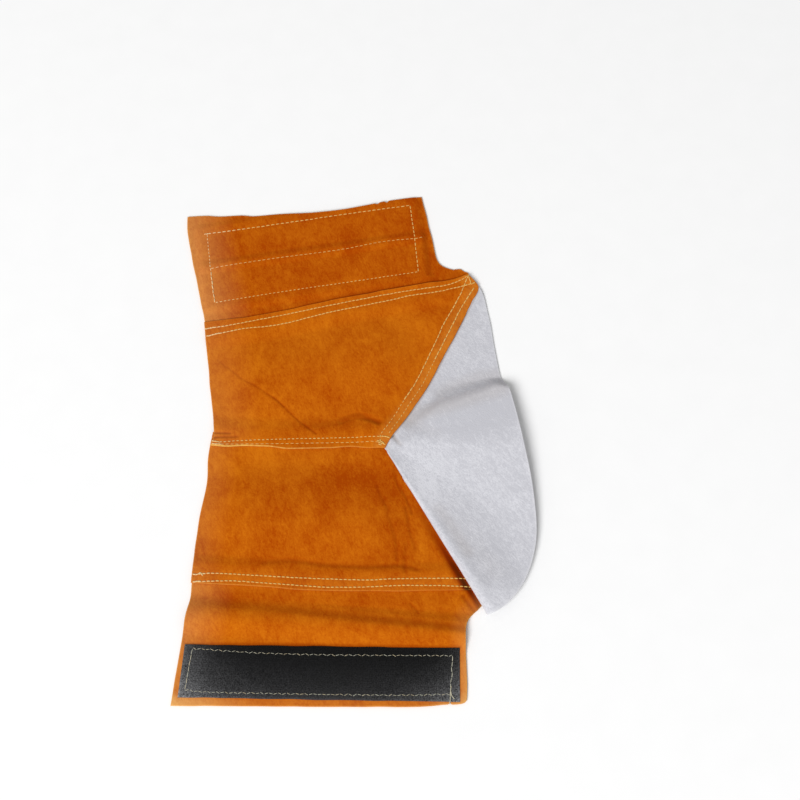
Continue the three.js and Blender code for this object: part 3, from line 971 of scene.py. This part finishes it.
def suede_material(name, light, dark, core, faded, crease, deep):
    """Suede with cloudy patches, flecked nap, painted shade in its creases and gaps, and pale cut edges."""
    look = named(SUEDE_COLUMNS, SUEDES[name])
    material, tree, shader, coordinates = new_material(name)
    patch = group_node(tree, hide_patches, Coordinates=coordinates, Scale=look["patch_scale"],
                       Spread=look["spread"])["Patch"]
    nap = group_node(tree, suede_nap, Coordinates=coordinates, Grain=look["grain"], Comb=look["comb"])
    flecks = ranged(tree, nap["Fleck"], *FLECK_RANGE, -look["fleck"], look["fleck"])
    pits = calculated(tree, "MULTIPLY", nap["Pits"], look["pits"])
    flecked = calculated(tree, "SUBTRACT", calculated(tree, "ADD", patch, flecks), pits)
    # The tone attribute holds the nap's tone and the patches of painted light and shade.
    lightness = node(tree, "ShaderNodeMath", {0: flecked, 1: attribute(tree, "tone")}, operation="ADD",
                     use_clamp=True).outputs[0]
    colour = mixed(tree, lightness, opaque(dark), opaque(light))
    # Painted shade from the crease attribute: towards the crease shade, and deepest in gaps towards the deep
    # shade.
    depth = attribute(tree, "crease")
    colour = mixed(tree, ranged(tree, depth, 0.0, 0.6, 0.0, 1.0), colour, opaque(crease))
    colour = mixed(tree, ranged(tree, depth, 0.5, 1.0, 0.0, 1.0), colour, opaque(deep))
    rub = ranged(tree, nap["Fleck"], *FLECK_RANGE, 0.8, 1.2)
    colour = mixed(tree, calculated(tree, "MULTIPLY", attribute(tree, "faded"), rub), colour, opaque(faded))
    colour = group_node(tree, raw_edge, Coordinates=coordinates, Colour=colour, Core=opaque(core))["Colour"]
    roughness = ranged(tree, nap["Fleck"], 0.3, 0.7, 1.0, 0.86)
    link_surface(tree, shader, colour, roughness, nap["Height"],
                 specular=0.02, strength=look["bump"], distance=0.5 * MM)
    return material


def golden_suede(name):
    leather = bpy.context.scene.spat_leather
    return suede_material(name, leather.suede_light, leather.suede_dark, leather.core, leather.suede_faded,
                          leather.suede_crease_shade, leather.suede_deep_shade)


def grey_suede(name):
    leather = bpy.context.scene.spat_leather
    return suede_material(name, leather.grey_light, leather.grey_dark, leather.grey_core, leather.grey_light,
                          leather.grey_crease_shade, leather.grey_deep_shade)


TAPE_RIBS = 1400.0  # scale of the wave patterns that draw the ribs of the weave


def black_tape(name):
    """Woven black nylon: ribs both ways, fuzz, and painted haze of light towards its near edge and ends, with
    lint.
    """
    tape = bpy.context.scene.spat_tape
    material, tree, shader, coordinates = new_material(name)
    ribs = [node(tree, "ShaderNodeTexWave", {
        "Vector": coordinates, "Scale": TAPE_RIBS, "Distortion": 1.2, "Detail": 1.0},
        bands_direction=way).outputs["Fac"] for way in ("X", "Y")]
    weave = calculated(tree, "MULTIPLY", *ribs)
    fuzz = noise(tree, coordinates, 1300.0)
    lint = group_node(tree, hide_patches, Coordinates=coordinates, Scale=60.0, Spread=2.0)["Patch"]
    # Painted haze of light, broken up by patches of lint, pales the black.
    lint_and_haze = calculated(tree, "MULTIPLY", attribute(tree, "faded"), ranged(tree, lint, 0.2, 0.8, 0.7, 1.1))
    colour = mixed(tree, lint_and_haze, opaque(tape.black), opaque(tape.lint_and_haze))
    colour = mixed(tree, 1.0, colour, ranged(tree, weave, 0.0, 1.0, 0.5, 1.5), "MULTIPLY")
    colour = mixed(tree, 1.0, colour, ranged(tree, fuzz, 0.25, 0.75, 0.0, 2.0), "MULTIPLY")
    roughness = ranged(tree, lint, 0.2, 0.8, 0.6, 0.8)
    link_surface(tree, shader, colour, roughness, weave, specular=0.12, strength=0.5, distance=0.2 * MM)
    return material


PLY_TURNS = 5.0  # radians of a ply's twist for each millimetre of thread


def sewing_thread(name):
    """Twisted cream thread with painted light on each ply's crown and painted shade between plies; paler in
    places and dull with lint in others.
    """
    thread = bpy.context.scene.spat_thread
    material, tree, shader, coordinates = new_material(name)
    turned = calculated(tree, "MULTIPLY", attribute(tree, "ply"), PLY_TURNS)
    twist = node(tree, "ShaderNodeMath", {0: turned}, operation="SINE").outputs[0]
    ply = ranged(tree, twist, -1.0, 1.0, 0.0, 1.0)
    dirt = noise(tree, coordinates, 160.0)
    clean = ranged(tree, dirt, 0.3, 0.6, 0.7, 1.0)
    # Painted light on the crown of each ply and painted shade between the plies, dimmed by dirt.
    crown = calculated(tree, "MULTIPLY", ranged(tree, ply, 0.0, 1.0, 0.55, 1.0), clean)
    colour = mixed(tree, crown, opaque(thread.dark), opaque(thread.light))
    colour = mixed(tree, attribute(tree, "faded"), colour, opaque(thread.faded))
    colour = mixed(tree, attribute(tree, "dull"), colour, opaque(thread.dull))
    roughness = ranged(tree, dirt, 0.3, 0.7, 0.6, 0.8)
    link_surface(tree, shader, colour, roughness, ply, specular=0.2, strength=0.4, distance=0.1 * MM)
    return material


# Leather pieces

EDGE_WAVE_REACH = 12  # how far into the leather the waves of its edge reach
EDGE_SEEDS = {"near": 41, "far": 42, "left": 33, "right": 34}  # seeds of the waves of each side
NICK_REACH = 3  # how far into the leather a nick moves it, in depths of the nick
PATCH_CORE = 0.1  # share of a patch's reach that has its full strength
PALE_CORE = 0.35  # share of a pale edge's width that has its full strength
RUB_FADE = 1.4  # above 1, a rubbed edge fades sooner


def crease_shade(name, x, y):
    """How much painted shade a piece has in its creases and gaps, partly pressed nap, from 0 to 1."""
    shade = np.zeros(x.shape)
    for crease in rows_of(CREASE_COLUMNS, CREASES[name]):
        shade += crease["shade"] * crease_profile(x, y, crease)
    return np.clip(shade, 0, 1)


def patch_marks(name, x, y):
    """The tone of a piece's nap with its patches, some of them painted light and shade, and how much it is
    rubbed pale.
    """
    tone, faded = np.full(x.shape, PANEL_TONES[name]), np.zeros(x.shape)
    for patch in rows_of(PATCH_COLUMNS, PATCHES[name]):
        away = np.hypot((x - patch["x"]) / patch["reach_x"], (y - patch["y"]) / patch["reach_y"])
        share = 1 - smooth_step(away, PATCH_CORE, 1)
        tone += patch["tone"] * share
        faded += patch["faded"] * share
    return tone, faded


def waved_edges(name, x, y):
    """Moves the points near a cut edge by its small waves and nicks, out of the leather or into it."""
    moved_x, moved_y = x.copy(), y.copy()
    for side, seed in EDGE_SEEDS.items():
        away, _ = nearest_on_line(x, y, side_line(name, side))
        height, size = EDGE_WAVES.get((name, side), PLAIN_EDGE_WAVE)
        hold = 1 - smooth_step(away, 0, EDGE_WAVE_REACH)
        if side in ("left", "right"):
            moved_x += height * hold * soft_noise(y, x, size, seed)
        else:
            moved_y += height * hold * soft_noise(x, y, size, seed)
        for panel, cut_side, place, width, depth in NICKS:
            if (panel, cut_side) == (name, side):
                inward = 1 if side == "near" else -1
                cut = np.clip(1 - np.abs(x - place) / (width / 2), 0, 1)
                moved_y += inward * depth * cut * (1 - smooth_step(away, 0, NICK_REACH * depth))
    return moved_x, moved_y


def panel_patch(name, columns, rows):
    """A grid of points that fills a panel's four cut edges."""
    u, v = np.linspace(0, 1, columns + 1), np.linspace(0, 1, rows + 1)
    near, far = (even_points(PANELS[name][side], u)[0][None] for side in ("near", "far"))
    left, right = (even_points(PANELS[name][side], v)[0][:, None] for side in ("left", "right"))
    u, v = u[None, :, None], v[:, None, None]
    ruled = near * (1 - v) + far * v + left * (1 - u) + right * u
    near_ends, far_ends = (line[:, :1] * (1 - u) + line[:, -1:] * u for line in (near, far))
    return np.moveaxis(ruled - (near_ends * (1 - v) + far_ends * v), -1, 0)


def edge_marks(name, x, y):
    """Shares of pale core, of rubbed nap and left-edge painted haze along cut edges, and how much lighter the
    nap lies.
    """
    pale, rubbed, lighter = (np.zeros(x.shape) for _ in range(3))
    for side in SIDES:
        away, share = nearest_on_line(x, y, side_line(name, side))
        start, stop, width = PALE_EDGES.get((name, side), PLAIN_PALE_EDGE)
        strength = start + (stop - start) * share
        pale = np.maximum(pale, strength * (1 - smooth_step(away, PALE_CORE * width, width)))
        if (name, side) in RUBBED_EDGES:
            edge = named(RUBBED_COLUMNS, RUBBED_EDGES[name, side])
            reach = np.clip((edge["width"] - away) / (edge["width"] - edge["full"]), 0, 1) ** RUB_FADE
            rubbed += edge["faded"] * reach
            lighter += edge["tone"] * reach
    return pale, rubbed, lighter


def add_panel(name):
    """One leather panel, draped over what is already laid."""
    cell = bpy.context.scene.spat_leather.cell / MM
    columns, rows = (round(max(even_points(PANELS[name][side], [0])[1] for side in pair) / cell)
                     for pair in (SIDES[:2], SIDES[2:]))
    cut_x, cut_y = panel_patch(name, columns, rows)
    pale, rubbed, lighter = edge_marks(name, cut_x, cut_y)
    tone, faded = patch_marks(name, cut_x, cut_y)
    x, y = waved_edges(name, cut_x, cut_y)
    # crease is painted shade, partly pressed nap; faded is rubbed nap, with painted haze along the left
    # edges.
    attributes = {"cut_edge": pale, "faded": rubbed + faded, "crease": crease_shade(name, x, y),
                  "tone": tone + lighter}
    suede = shared(bpy.data.materials, "suede_golden", golden_suede)
    piece = wall(name + "_leather", laid(name, x, y), thickness_of(name), attributes, suede)
    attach(piece, "root")
    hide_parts(name)
    return piece


class SPAT_OT_closures(Operator):
    """Lay the two leather closures"""

    bl_idname = "spat.closures"
    bl_label = "Closures"

    def execute(self, context):
        piece = add_panel("closure_loop")
        piece = add_panel("closure_hook")
        return {"FINISHED"}


class SPAT_OT_quarters(Operator):
    """Lay the two leather quarters"""

    bl_idname = "spat.quarters"
    bl_label = "Quarters"

    def execute(self, context):
        piece = add_panel("quarter_hook")
        piece = add_panel("quarter_loop")
        return {"FINISHED"}


SEAM_RISE = (0.5, 18)  # where past the seam the vamp starts to rise, and where it has its full height
LIFT_SHAPE = 0.75  # below 1, the vamp rises sooner near its root
FOLD_SPREAD = 5  # millimetres that each section of the vamp counts for beside its own width


def vamp_patch(columns, rows):
    """A grid of points on the vamp, with its lift: from root to tip, and from the hem to the sewn edge."""
    table = np.array(list(VAMP_SECTIONS.values()), float)[::-1]
    roots, tips = table[:, :3], table[:, 3:]
    fine = np.linspace(0, len(table) - 1, len(table) * SPLINE_STEPS)
    walked = walked_along(curve_points(tips, fine, centripetal=True)) + FOLD_SPREAD * fine
    at = np.interp(np.linspace(0, walked[-1], rows + 1), walked, fine)
    roots, tips = (curve_points(part, at, centripetal=True)[:, None] for part in (roots, tips))
    u = np.linspace(0, 1, columns + 1)[None, :, None]
    x, y, _ = np.moveaxis(roots * (1 - u) + tips * u, -1, 0)
    lift = (roots + (tips - roots) * u**LIFT_SHAPE)[..., 2]
    line = smooth_line(RIDGE_LINE)
    away, share = nearest_on_line(x, y, line)
    below = np.where(y < np.interp(x, line[:, 0], line[:, 1]), away, -away)
    width = np.interp(share, np.linspace(0, 1, len(RIDGE_WIDTH)), RIDGE_WIDTH)
    past_seam = distance_outside(x, y, outline_of("quarter_loop"))
    rise = smooth_step(below / width, -RIDGE_ABOVE, 1 - RIDGE_ABOVE)
    return x, y, lift * rise * smooth_step(past_seam, *SEAM_RISE)


class SPAT_OT_vamp(Operator):
    """Lay the grey vamp, with its ridge and the hem that is turned under its fold"""

    bl_idname = "spat.vamp"
    bl_label = "Vamp"

    columns = 112
    rows = 300
    pale_edge = (0.6, 1.5)  # strength of the pale core along the cut edge, and its width in columns

    def execute(self, context):
        x, y, lift = vamp_patch(self.columns, self.rows)
        strength, width = self.pale_edge
        from_tip = (1 - np.linspace(0, 1, self.columns + 1))[None] * np.ones((self.rows + 1, 1))
        pale = strength * (1 - smooth_step(from_tip, 0, width / self.columns))
        tone, faded = patch_marks("vamp", x, y)
        # crease is the painted shade of the vamp's creases, ridge and fold.
        attributes = {"cut_edge": pale, "faded": faded, "crease": crease_shade("vamp", x, y), "tone": tone}
        suede = shared(bpy.data.materials, "suede_grey", grey_suede)
        piece = wall("vamp_leather", laid("vamp", x, y, lift), thickness_of("vamp"), attributes, suede)
        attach(piece, "root")
        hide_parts("vamp")
        return {"FINISHED"}


# Tapes

TAPE_CELL = 1.4  # spacing of the points on the hook tape
PILE_CELL = 1.6  # and on the loop tapes
TAPE_EDGE_WAVE = (0.35, 21, 51)  # height, length and seed of the waves of a tape's edge
HAZY_EDGE = ((0.115, 1.6), (0.1, 12))  # painted haze: how pale a tape's near edge is, and how steeply that fades across it
# Painted haze at the tape's ends: how pale they are at the far edge, how much more at the near edge and how
# steeply, and over what length that fades at the far edge, and how much more at the near edge.
HAZE_COLUMNS = ("pale", "pale_near", "steep", "reach", "reach_near")
HAZY_ENDS = {"left": (0.42, 0.6, 3, 12, 9), "right": (0.12, 0.6, 2, 6, 12)}
HOOK_SELVEDGE = 1.6  # bare border of the hook tape
STITCH_BARE = 0.75  # hooks are pressed away this close to a row of stitches
# Shares of a hook's height along and up.
HOOK_LINE = ((0, 0), (0.03, 0.5), (0.2, 0.88), (0.5, 1), (0.72, 0.72))
HOOK_SHEEN = 0.011  # painted sheen: how much paler the hooks are than their base
HOOK_RADII = (0.13, 0.12, 0.11, 0.1, 0.07)  # millimetres
HOOK_SIDES = 4
HOOK_JITTER = 0.25  # how far a hook stands from its even place
HOOK_SEED = 61


def tape_haze(name, along, across):
    """How pale a tape is painted with haze of light: towards its near edge and at its ends."""
    tape = tape_of(name)
    nearness = np.clip(0.5 - across / tape["width"], 0, 1)
    haze = sum(pale * nearness**steep for pale, steep in HAZY_EDGE)
    from_ends = (tape["length"] / 2 + along, tape["length"] / 2 - along)
    for away, end in zip(from_ends, rows_of(HAZE_COLUMNS, HAZY_ENDS)):
        pale = end["pale"] + end["pale_near"] * nearness ** end["steep"]
        haze = haze + pale * np.exp(-np.maximum(away, 0) / (end["reach"] + end["reach_near"] * nearness))
    return haze


def add_tape(name, cell):
    """A woven tape, laid over what is under it."""
    tape = tape_of(name)
    along, across = np.meshgrid(*(np.linspace(-size / 2, size / 2, round(size / cell))
                                  for size in (tape["length"], tape["width"])))
    height, size, seed = TAPE_EDGE_WAVE
    waved = across + height * soft_noise(along, along, size, seed) * across / (tape["width"] / 2)
    x, y = tape_points(name, along, waved)
    # faded is the painted haze of light.
    attributes = {"faded": tape_haze(name, along, across)}
    woven = shared(bpy.data.materials, "tape_black", black_tape)
    piece = wall(name + "_woven", laid(name, x, y), thickness_of(name), attributes, woven)
    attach(piece, "root")
    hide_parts(name)
    return piece


class SPAT_OT_loop_tapes(Operator):
    """Lay the pair of loop tapes that are sewn under the loop-side closure"""

    bl_idname = "spat.loop_tapes"
    bl_label = "Loop tapes"

    def execute(self, context):
        for name in ("loop_tape_inner", "loop_tape_outer"):
            piece = add_tape(name, PILE_CELL)
        return {"FINISHED"}


class SPAT_OT_hook_tape(Operator):
    """Lay the hook tape on the hook-side closure and set its hooks"""

    bl_idname = "spat.hook_tape"
    bl_label = "Hook tape"

    def execute(self, context):
        base = add_tape("hook_tape", TAPE_CELL)
        hooks = self.add_hooks(context.scene.spat_tape)
        return {"FINISHED"}

    def add_hooks(self, settings):
        """Rows of hooks, which lean to either side in turn."""
        tape = tape_of("hook_tape")
        spacing, rise = settings.hook_spacing / MM, settings.hook_height / MM
        reaches = (tape[key] / 2 - HOOK_SELVEDGE for key in ("length", "width"))
        along, across = np.meshgrid(*(np.arange(-reach, reach, spacing) for reach in reaches))
        lean = np.where(np.arange(along.shape[0]) % 2, 1.0, -1.0)[:, None] * np.ones(along.shape)
        jitter = np.random.default_rng(HOOK_SEED).uniform(-HOOK_JITTER, HOOK_JITTER, (2, *along.shape))
        along = along + jitter[0] + lean * spacing / 4
        across = across + jitter[1]
        x, y = tape_points("hook_tape", along, across)
        bare = np.zeros(x.shape, bool)
        for surface, _, points in sewn_rows():
            if surface == "hook_tape":
                bare |= nearest_on_line(x, y, smooth_line(points))[0] < STITCH_BARE
        x, y, lean = (values[~bare] for values in (x, y, lean))
        foot = top_height("hook_tape", x, y) - HOOK_RADII[0]
        shape = np.array(HOOK_LINE) * rise
        lines = [np.stack((x0 + way * shape[:, 0], np.full(len(shape), y0), z0 + shape[:, 1]), axis=-1)
                 for x0, y0, z0, way in zip(x, y, foot, lean)]
        radii = [np.array(HOOK_RADII)] * len(lines)
        # Painted sheen of the hooks, over the painted haze of the tape.
        haze = HOOK_SHEEN + tape_haze("hook_tape", along, across)[~bare]
        woven = shared(bpy.data.materials, "tape_black", black_tape)
        piece = tubes("hook_tape_hooks", lines, radii, HOOK_SIDES, woven, {"faded": haze}, across=(0, 1, 0))
        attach(piece, "root")
        return piece


# Threads

# Shares along a stitch and of its rise.
STITCH_SECTION = ((0, -0.8), (0.16, 0.7), (0.5, 1), (0.84, 0.7), (1, -0.8))
STITCH_THIN = np.array((0.62, 0.95, 1, 0.95, 0.62))  # share of the thread's radius along a stitch
STITCH_SIDES = 6
STITCH_WOBBLE = 0.13  # how far a stitch lies beside its row
STITCH_TILT = 0.08  # how far the ends of a straight stitch lie to either side
SLANT_RANGE = (0.4, 1.6)  # shares of the row's slant
DULL_RANGE = (0.7, 1.1)  # shares of the row's dullness
THICK_RANGE = (0.85, 1.15)  # shares of the row's thickness
THREAD_SEED = 71
# How much paler the thread is at the top of the leg, and where along X that fades.
THREAD_FADE = (0.7, -128, -88)
TAIL_THIN = 0.68  # share of the thread's radius in its frayed tails
TAIL_DULL = 0.9  # how dull and dusty the tails are


def stitches(piece, way, points, generator):
    """Lines of the stitches of one row on a piece, with the thickness, dullness and fading of each."""
    way = named(STITCH_COLUMNS, STITCH_WAYS[way])
    length = even_points(points, [0])[1]
    count = max(1, round(length / way["pitch"]))
    section = np.array(STITCH_SECTION)
    starts = (np.arange(count)[:, None] + 0.5 + way["shown"] * (section[None, :, 0] - 0.5)) / count
    placed = even_points(points, np.clip(starts, 0, 1))[0]
    ahead = unit(placed[:, -1] - placed[:, 0])
    aside = np.stack((-ahead[:, 1], ahead[:, 0]), axis=-1)
    wobble = generator.uniform(-STITCH_WOBBLE, STITCH_WOBBLE, count)
    tilt = np.where(np.arange(count) % 2, 1, -1) * way["slant"] * generator.uniform(*SLANT_RANGE, count)
    tilt = tilt + generator.uniform(-STITCH_TILT, STITCH_TILT, count)
    sideways = wobble[:, None] + tilt[:, None] * (section[None, :, 0] - 0.5) * 2
    placed = placed + aside[:, None] * sideways[..., None]
    height = top_height(piece, placed[..., 0], placed[..., 1]) + way["rise"] * section[None, :, 1]
    lines = list(np.concatenate((placed, height[..., None]), axis=-1))
    dull = np.minimum(way["dull"] * generator.uniform(*DULL_RANGE, count), 1)
    thick = way["thick"] * generator.uniform(*THICK_RANGE, count)
    fade, start, stop = THREAD_FADE
    faded = fade * (1 - smooth_step(placed[:, len(section) // 2, 0], start, stop))
    return lines, thick, list(dull), list(faded)


class SPAT_OT_threads(Operator):
    """Sew every seam and border"""

    bl_idname = "spat.threads"
    bl_label = "Threads"

    tail_points = 14

    def execute(self, context):
        radius = context.scene.spat_thread.diameter / MM / 2
        generator = np.random.default_rng(THREAD_SEED)
        cream = shared(bpy.data.materials, "thread_cream", sewing_thread)
        for thread, (surface, rows) in SEWN_ROWS.items():
            lines, radii, dulls, fades = [], [], [], []
            for way, points in rows:
                made, thick, dull, faded = stitches(surface, way, points, generator)
                lines += made
                radii += [STITCH_THIN * radius * share for share in thick]
                dulls += dull
                fades += faded
            if thread == "hook_border_thread":
                for tail in self.tails(radius):
                    lines.append(tail)
                    radii.append(np.full(len(tail), radius * TAIL_THIN))
                    dulls.append(TAIL_DULL)
                    fades.append(0)
            values = {"dull": dulls, "faded": fades}
            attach(tubes(thread, lines, radii, STITCH_SIDES, cream, values), "root")
        return {"FINISHED"}

    def tails(self, radius):
        """Loose ends, laid on the tape and over the edge of the leather."""
        for points in THREAD_TAILS:
            line = even_points(points, np.linspace(0, 1, self.tail_points))[0]
            x, y = line.T
            on_tape = distance_outside(x, y, outline_of("hook_tape")) == 0
            height = np.where(on_tape, top_height("hook_tape", x, y), top_height("closure_hook", x, y))
            yield np.column_stack((line, height + radius))


# Stage

FLOOR_SIZE = 6.0
FLOOR_SHADE = 0.97  # share of the floor's colour in the dark parts of its grain
KEY_PLACE = Vector((-3.0, -4.9, 5.6))
KEY_SIZE = 4.2
SENSOR_WIDTH = 36  # millimetres


def facing(way):
    """Turn of a light or a camera that points a given way."""
    return way.to_track_quat("-Z", "Y").to_euler()


class SPAT_OT_stage(Operator):
    """Set the pale floor, the soft light and the camera"""

    bl_idname = "spat.stage"
    bl_label = "Stage"

    def execute(self, context):
        stage = context.scene.spat_stage
        self.floor(stage)
        self.light(context, stage)
        self.camera(context, stage)
        return {"FINISHED"}

    def floor(self, stage):
        bpy.ops.mesh.primitive_plane_add(size=FLOOR_SIZE)
        floor = bpy.context.object
        floor.name = "floor"
        material, tree, shader, coordinates = new_material("floor_paper")
        shade = tuple(FLOOR_SHADE * part for part in stage.floor_colour)
        colour = mixed(tree, noise(tree, coordinates, 40.0), opaque(shade), opaque(stage.floor_colour))
        tree.links.new(colour, shader.inputs["Base Color"])
        shader.inputs["Roughness"].default_value = 0.9
        shader.inputs["Specular IOR Level"].default_value = 0.0
        floor.data.materials.append(material)

    def light(self, context, stage):
        bpy.ops.object.light_add(type="AREA", location=KEY_PLACE, rotation=facing(-KEY_PLACE))
        key = context.object
        key.name = "key_light"
        key.data.shape = "DISK"
        key.data.size = KEY_SIZE
        key.data.energy = stage.key_power
        world = bpy.data.worlds.new("soft_sky")
        world.use_nodes = True
        world.node_tree.nodes["Background"].inputs["Color"].default_value = (1, 1, 1, 1)
        world.node_tree.nodes["Background"].inputs["Strength"].default_value = stage.sky
        context.scene.world = world
        context.scene.view_settings.view_transform = "Standard"

    def camera(self, context, stage):
        target = Vector(stage.target)
        away = Vector((0, -math.cos(stage.elevation), math.sin(stage.elevation)))
        bpy.ops.object.camera_add(location=target + away * stage.distance, rotation=facing(-away))
        camera = context.object
        camera.name = "camera"
        camera.data.sensor_width = SENSOR_WIDTH
        camera.data.lens = stage.lens
        context.scene.camera = camera


OPERATORS = (SPAT_OT_loop_tapes, SPAT_OT_closures, SPAT_OT_quarters, SPAT_OT_vamp, SPAT_OT_hook_tape,
             SPAT_OT_threads, SPAT_OT_stage)


class SPAT_PT_build(Panel):
    """Lists the steps in the order in which the spat is made"""

    bl_label = "Welding spat"
    bl_space_type = "VIEW_3D"
    bl_region_type = "UI"
    bl_category = "Spat"

    def draw(self, context):
        for operator in OPERATORS:
            self.layout.operator(operator.bl_idname)
        for name in SETTINGS:
            settings = getattr(context.scene, name)
            box = self.layout.box()
            for key in settings.__annotations__:
                box.prop(settings, key)


SETTINGS = {
    "spat_leather": SpatLeather,
    "spat_tape": SpatTape,
    "spat_thread": SpatThread,
    "spat_stage": SpatStage,
}
CLASSES = (*SETTINGS.values(), *OPERATORS, SPAT_PT_build)


def register():
    for cls in CLASSES:
        bpy.utils.register_class(cls)
    for name, group in SETTINGS.items():
        setattr(Scene, name, PointerProperty(type=group))


def unregister():
    for name in SETTINGS:
        delattr(Scene, name)
    for cls in reversed(CLASSES):
        bpy.utils.unregister_class(cls)


def main():
    register()
    bpy.ops.object.select_all(action="DESELECT")
    bpy.ops.spat.loop_tapes()
    bpy.ops.spat.closures()
    bpy.ops.spat.quarters()
    bpy.ops.spat.vamp()
    bpy.ops.spat.hook_tape()
    bpy.ops.spat.threads()
    bpy.ops.spat.stage()


if __name__ == "__main__":
    main()
